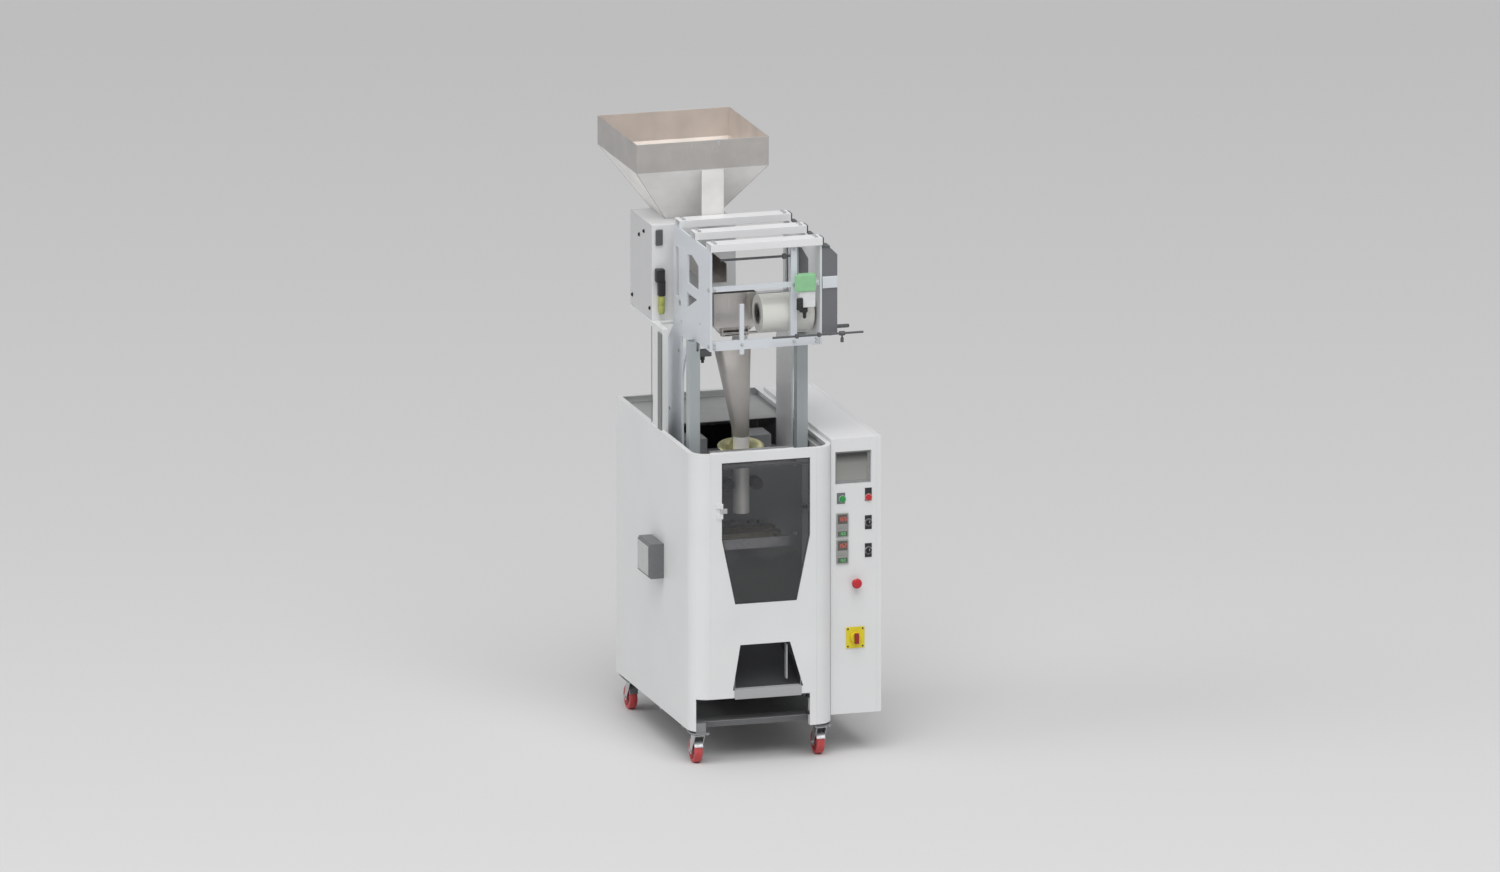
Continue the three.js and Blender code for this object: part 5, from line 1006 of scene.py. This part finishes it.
# Control cabinet: a white sheet case on the right side, its door hinged at the back, with dark and
# pale modules inside and its operating pieces in two columns on the front.
enclosure = dressed("control_enclosure", white_coat)
# The case's top takes the brighter white as painted light.
recoated(enclosure, bar_white_and_painted_light, lambda middle, way: way.z > 0.9 and middle.z > 1250)
module_dark = powder_coat("module_dark_grey", (0.07, 0.075, 0.08), 0.5)
module_pale = powder_coat("module_pale_grey", (0.46, 0.465, 0.46), 0.5)
module_rows = ((module_dark, 190, 500), (module_pale, 500, 900), (module_dark, 900, 1240))


def on_modules(middle):
    """Tells whether a face lies on the modules that stand inside the case."""
    return 597.8 < middle.x < 660 and 100 < middle.y < 960


for coat, low, high in module_rows:
    recoated(enclosure, coat, lambda middle, way: on_modules(middle) and low < middle.z < high)
dressed("control_door", white_coat)
control_left, control_front, control_top = 580.3, 60, 1263
left_column, middle_column, right_column = 46, 99, 152


def on_front(column, drop, proud=0):
    """A place on the control cabinet's front, from its left edge and its top."""
    return spot(control_left + column, control_front - proud, control_top - drop)


# Touch screen: a glass plate whose mid grey is a painted reflection and which darkens towards its top as
# painted shadow and reflection, in a grey moulded frame that is set back in a pocket of the control
# cabinet's front.
screen_glass, tree, shader, place = finish("glass_with_painted_reflection_and_shade", (0.29, 0.29, 0.27), 0.12)
shader.inputs["Coat Weight"].default_value = 0.6
screen_split = tree.nodes.new("ShaderNodeSeparateXYZ")
screen_shade_ramp = tree.nodes.new("ShaderNodeValToRGB")
screen_range = tree.nodes.new("ShaderNodeMapRange")
screen_range.inputs["From Min"].default_value = 1.090
screen_range.inputs["From Max"].default_value = 1.201
grey_ramp(screen_shade_ramp, ((0.0, 0.29), (0.62, 0.24), (0.80, 0.10), (0.90, 0.02)), 0.94)
tree.links.new(place, screen_split.inputs[0])
tree.links.new(screen_split.outputs["Z"], screen_range.inputs["Value"])
tree.links.new(screen_range.outputs[0], screen_shade_ramp.inputs[0])
tree.links.new(screen_shade_ramp.outputs[0], shader.inputs["Base Color"])
screen_frame = moulded("screen_frame", (0.30, 0.31, 0.31), 0.45)
screen_half_width, screen_half_height, screen_drop, screen_back = 72.7, 65.7, 118, 18
screen_rim = 10
centre = on_front(91, screen_drop)
block("screen_glass", centre + Vector((-0.0625, 0.0186, -0.0555)),
      centre + Vector((0.0625, 0.0300, 0.0555)), screen_glass, "machine", 0.0006,
      ("touch_screen",))
for side, (dx, dz) in {"left": (-1, 0), "right": (1, 0), "top": (0, 1), "bottom": (0, -1)}.items():
    across = (screen_half_width - screen_rim / 2) * dx
    upward = (screen_half_height - screen_rim / 2) * dz
    half_x = screen_rim / 2 if dx else screen_half_width - 0.2
    half_z = screen_rim / 2 if dz else screen_half_height - screen_rim
    low = centre + Vector((across - half_x, screen_back - 0.4, upward - half_z)) / 1000
    high = centre + Vector((across + half_x, screen_back + 11, upward + half_z)) / 1000
    block(f"screen_frame_{side}", low, high, screen_frame, "machine", 0.0008)


# Temperature controllers: black 48 by 96 mm cases with a smoked face, two rows of lit figures and
# four small keys.
def dark_glass(name, colour, low, high):
    """A dark coated glass, faintly cloudy between two shades."""
    material, tree, shader, place = finish(name, colour, 0.15)
    shader.inputs["Coat Weight"].default_value = 0.5
    tinted(tree, shader, noise(tree, place, 40), low, high)
    return material


def lit(name, colour, strength):
    """A small lit segment."""
    material, tree, shader, place = finish(name, colour, 0.4)
    shader.inputs["Emission Color"].default_value = (*colour, 1)
    shader.inputs["Emission Strength"].default_value = strength
    tinted(tree, shader, noise(tree, place, 300), [channel * 0.8 for channel in colour], colour)
    return material


face_glass = dark_glass("controller_glass", (0.09, 0.078, 0.07), (0.08, 0.07, 0.062),
                        (0.11, 0.094, 0.085))
goal_glass = dark_glass("controller_green_glass", (0.07, 0.10, 0.07), (0.06, 0.09, 0.06),
                        (0.09, 0.12, 0.09))
red_light = lit("red_figures", (0.75, 0.08, 0.05), 0.5)
green_light = lit("green_figures", (0.12, 0.62, 0.18), 0.5)
bezel_plastic = moulded("bezel_plastic", (0.34, 0.345, 0.33), 0.45)
segment_lines = {"a": (0, 2, 1, 2), "b": (1, 1, 1, 2), "c": (1, 0, 1, 1), "d": (0, 0, 1, 0),
                 "e": (0, 0, 0, 1), "f": (0, 1, 0, 2), "g": (0, 1, 1, 1)}
figures = {"0": "abcdef", "1": "bc", "2": "abged", "5": "afgcd", "6": "afgedc", "8": "abcdefg"}


def lit_number(name, digits, centre, cell, bar, material):
    """A row of seven-bar figures standing a hair proud of a face."""
    work = bmesh.new()
    pitch = cell * 1.7
    for place, digit in enumerate(digits):
        offset = (place - (len(digits) - 1) / 2) * pitch - cell / 2
        for segment in figures[digit]:
            x0, z0, x1, z1 = segment_lines[segment]
            middle = Vector((offset + cell * (x0 + x1) / 2, 0, cell * ((z0 + z1) / 2 - 1)))
            width = cell * 0.8 if x0 != x1 else bar
            height = cell * 0.8 if z0 != z1 else bar
            size = Matrix.Diagonal((width / 1000, 0.0004, height / 1000, 1))
            move = Matrix.Translation(centre + middle / 1000)
            bmesh.ops.create_cube(work, size=1, matrix=move @ size)
    return made(name, as_mesh(name, work), material, "machine")


for level, drop, upper, lower in (("upper", 346, "165", "160"), ("lower", 452, "152", "150")):
    node = level + "_temperature_controller"
    dressed(node, bezel_plastic, 0.0010)
    face = on_front(left_column, drop, 5.2)
    block(node + "_face", face + Vector((-0.0195, -0.0004, 0.006)),
          face + Vector((0.0195, 0.0006, 0.0435)), face_glass, "machine", 0.0003)
    block(node + "_goal_face", face + Vector((-0.0195, -0.0004, -0.0435)),
          face + Vector((0.0195, 0.0006, -0.0235)), goal_glass, "machine", 0.0003)
    lit_number(node + "_value", upper, face + Vector((0, -0.0006, 0.025)), 7, 1.7, red_light)
    lit_number(node + "_goal", lower, face + Vector((0, -0.0006, -0.0335)), 5, 1.3, green_light)
    for key in range(4):
        at = face + Vector((-0.0138 + key * 0.0092, -0.0004, -0.009))
        half = Vector((0.0034, 0, 0.0034))
        block(f"{node}_key_{key}", at - half + Vector((0, -0.0012, 0)), at + half, bezel_plastic,
              "machine", 0.0005)


# Push buttons, selectors and emergency stop: coloured caps in satin metal collars.
plate_black = moulded("plate_black", (0.018, 0.018, 0.02), 0.4)
plate_grey = moulded("plate_grey", (0.16, 0.165, 0.165), 0.45)
legend_plates = {"start": (left_column - 5, 238, 17, 22, plate_grey),
                 "stop": (right_column, 229, 14, 26, plate_black),
                 "upper_selector": (right_column, 341, 14, 28, plate_black),
                 "lower_selector": (right_column, 453, 14, 28, plate_black)}
for label, (column, drop, half_wide, half_tall, material) in legend_plates.items():
    block(label + "_plate", on_front(column - half_wide, drop + half_tall, 1.2),
          on_front(column + half_wide, drop - half_tall, 0), material, "machine",
          0.0005)
collar_metal = plated("satin_collar", (0.55, 0.56, 0.57), 0.3, 0.06)
cap_green = moulded("cap_green", (0.02, 0.30, 0.07), 0.3)
cap_red = moulded("cap_red", (0.55, 0.02, 0.03), 0.3)
bezel_ring = [(11.3, 0), (15, 0), (15, 2.4), (13.8, 4), (11.8, 4), (11.3, 3.4), (11.3, 0)]
button_cap = [(0, -8), (11, -8), (11, 7.4), (10, 8.8), (0, 9)]
stations = (("start_button", left_column, 241, cap_green, "green_plastic"),
            ("stop_button", right_column, 241, cap_red, "red_plastic"),
            ("upper_selector", right_column, 341, black_plastic, "black_plastic"),
            ("lower_selector", right_column, 453, black_plastic, "black_plastic"),
            ("emergency_stop", middle_column, 578, cap_red, "red_plastic"))
for node, column, drop, material, slot in stations:
    ring_material, ring_slot = (collar_metal, "zinc") if node == "emergency_stop" else (material, slot)
    turned(node + "_ring", bezel_ring, on_front(column, drop, 0.2), TO_FRONT, ring_material, "machine",
           steps=40)
for node, column, drop, material, slot in stations[:2]:
    turned(node + "_cap", button_cap, on_front(column, drop), TO_FRONT, material, node, steps=40,
           stands_for=(node,))
for node, column, drop, material, slot in stations[2:4]:
    turned(node + "_barrel", [(0, -8), (11, -8), (11, 8.2), (10.2, 9), (0, 9)], on_front(column, drop),
           TO_FRONT, material, node, steps=40, stands_for=(node,))
    grip = on_front(column, drop, 9)
    block(node + "_grip", grip + Vector((-0.003, -0.010, -0.010)), grip + Vector((0.003, 0.001, 0.010)),
          material, node, 0.0014)
    block(node + "_mark", grip + Vector((-0.0007, -0.0103, 0.002)),
          grip + Vector((0.0007, -0.0095, 0.0095)), pale_plastic, node, 0.0002)
stop_cap = [(0, -8), (11, -8), (11, 17), (15.5, 18), (19.2, 20.5), (20, 24), (19.6, 28), (16, 32),
            (9, 33.8), (0, 34)]
turned("emergency_stop_cap", stop_cap, on_front(middle_column, 578), TO_FRONT, cap_red,
       "emergency_stop", stands_for=("emergency_stop",))


# Main switch: a yellow plate held by four screws, with a red knob and its grip.
plate_yellow = moulded("plate_yellow", (0.80, 0.66, 0.02), 0.45)
dressed("isolator_plate", plate_yellow, 0.0006)
switch = on_front(middle_column, 799, 2.8)
switch_screws = [switch + Vector((dx * 0.030, 0, dz * 0.035)) for dx in (-1, 1) for dz in (-1, 1)]
grown("isolator_screws", switch_screws, round_heads, stud(0.0028, 0.0012, facing_front),
      black_oxide, "machine")
knob_turn = [(0, -8), (11, -8), (11, 3.2), (20, 3.2), (22, 4.6), (22, 11), (20, 14.6), (0, 15)]
turned("isolator_knob_disc", knob_turn, on_front(middle_column, 799), TO_FRONT, plate_yellow,
       "isolator_knob", stands_for=("isolator_knob",))
grip_red = moulded("grip_red", (0.33, 0.015, 0.02), 0.35)
grip = on_front(middle_column, 799, 15)
block("isolator_grip", grip + Vector((-0.0085, -0.014, -0.0215)),
      grip + Vector((0.0085, 0.001, 0.0215)), grip_red, "isolator_knob", 0.003)


# Lock of the control door: a turned barrel with a key slot.
lock_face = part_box("control_door")[1].x
lock_z = 711.5
block("door_lock_slot", Vector((lock_face - 0.0004, spot(0, 89, 0).y, lock_z / 1000 - 0.005)),
      Vector((lock_face + 0.0003, spot(0, 91, 0).y, lock_z / 1000 + 0.005)), black_plastic,
      "control_door", 0.0002)


# Junction box: a mid grey moulded case on the left side, with a paler lid and four lid screws.
box_grey = moulded("box_grey", (0.17, 0.175, 0.18), 0.45)
lid_grey = moulded("lid_grey", (0.55, 0.56, 0.56), 0.4)
dressed("junction_box", box_grey, 0.003)
lid_face = spot(-60.3, 0, 0).x
block("junction_lid", Vector((lid_face - 0.0015, spot(0, 401, 0).y, 0.682)),
      Vector((lid_face + 0.004, spot(0, 541, 0).y, 0.798)), lid_grey, "machine", 0.002)
lid_screws = [Vector((lid_face - 0.0013, spot(0, y, 0).y, z)) for y in (412, 530)
              for z in (0.693, 0.787)]
grown("junction_screws", lid_screws, round_heads, stud(0.0035, 0.0014, facing_left), zinc)


# Castors: zinc plated forks swivel under the frame on ball races, each with a guard over its wheel.
# Red polyurethane tyres run on hubs with bright bearing caps; the rear pair has black brake pedals.
red_tyre = rubber("red_polyurethane", (0.50, 0.055, 0.06), 0.45)
hub_red = rubber("hub_red", (0.33, 0.05, 0.055), 0.5)
tyre_section = [(35.5, -13.5), (36, -15.5), (44, -16), (47.6, -13.5), (49.3, -8), (49.38, 0), (49.3, 8),
                (47.6, 13.5), (44, 16), (36, 15.5), (35.5, 13.5), (35.5, -13.5)]
hub_section = [(6.4, -14), (18, -14), (19, -9.6), (33, -9), (35.4, -13.4), (35.4, 13.4), (33, 9),
               (19, 9.6), (18, 14), (6.4, 14), (6.4, -14)]
cap_section = [(6.2, 14), (12, 14), (12, 15.2), (6.2, 15.6), (6.2, 14)]
castor_trail, wheel_z, fork_half = 35, 49.384, 21
guard_inner, guard_outer, guard_half, guard_steps = 50.6, 52.4, 17.4, 14
guard_from, guard_to = math.radians(22), math.radians(96)


def guard_mesh(name, x, axle_y):
    """A bent strip over a wheel, a quarter round about its axle."""
    guard = bmesh.new()
    rows = []
    for step in range(guard_steps + 1):
        turn = guard_from + (guard_to - guard_from) * step / guard_steps
        row = []
        for radius, across in ((guard_outer, -1), (guard_outer, 1), (guard_inner, 1), (guard_inner, -1)):
            y, z = axle_y - radius * math.cos(turn), wheel_z + radius * math.sin(turn)
            row.append(guard.verts.new(spot(x + across * guard_half, y, z)))
        rows.append(row)
    for lower, upper in zip(rows, rows[1:]):
        for side in range(4):
            after = (side + 1) % 4
            guard.faces.new((lower[side], lower[after], upper[after], upper[side]))
    guard.faces.new(rows[0])
    guard.faces.new(list(reversed(rows[-1])))
    bmesh.ops.recalc_face_normals(guard, faces=guard.faces)
    return as_mesh(name, guard)


for name, x, y in (("front_left", 42, 62), ("front_right", 538, 62), ("rear_left", 42, 959),
                   ("rear_right", 538, 959)):
    wheel, fork = name + "_wheel", name + "_fork"
    axle = spot(x, y + castor_trail, wheel_z)
    turned(wheel + "_tyre", tyre_section, axle, ALONG_X, red_tyre, wheel, steps=56,
           stands_for=(wheel,))
    turned(wheel + "_hub", hub_section, axle, ALONG_X, hub_red, wheel, steps=40)
    for side in (-1, 1):
        label = "left" if side < 0 else "right"
        turned(f"{wheel}_{label}_cap", cap_section, axle, (side, 0, 0), bright_steel, wheel,
               steps=28)
        turn = facing_left if side < 0 else facing_right
        end = spot(x + side * fork_half, y + castor_trail, wheel_z)
        grown(f"{fork}_{label}_nut", [end], hexagon_heads, stud(0.0072, 0.0045, turn), zinc,
              fork)
    dressed(fork, zinc, 0.0008)
    made(fork + "_guard", guard_mesh(fork + "_guard", x, y + castor_trail), zinc, fork, 0.0005)
    if name.startswith("rear"):
        block(fork + "_pedal", spot(x - 14, y + 24, 113), spot(x + 14, y + 59, 123), black_plastic,
              fork, 0.003)
    plate = [spot(x + dx, y + dy, 126) for dx in (-28, 28) for dy in (-32, 32)]
    grown(f"{name}_plate_bolts", plate, hexagon_heads, stud(0.005, 0.0035, facing_down),
          zinc)
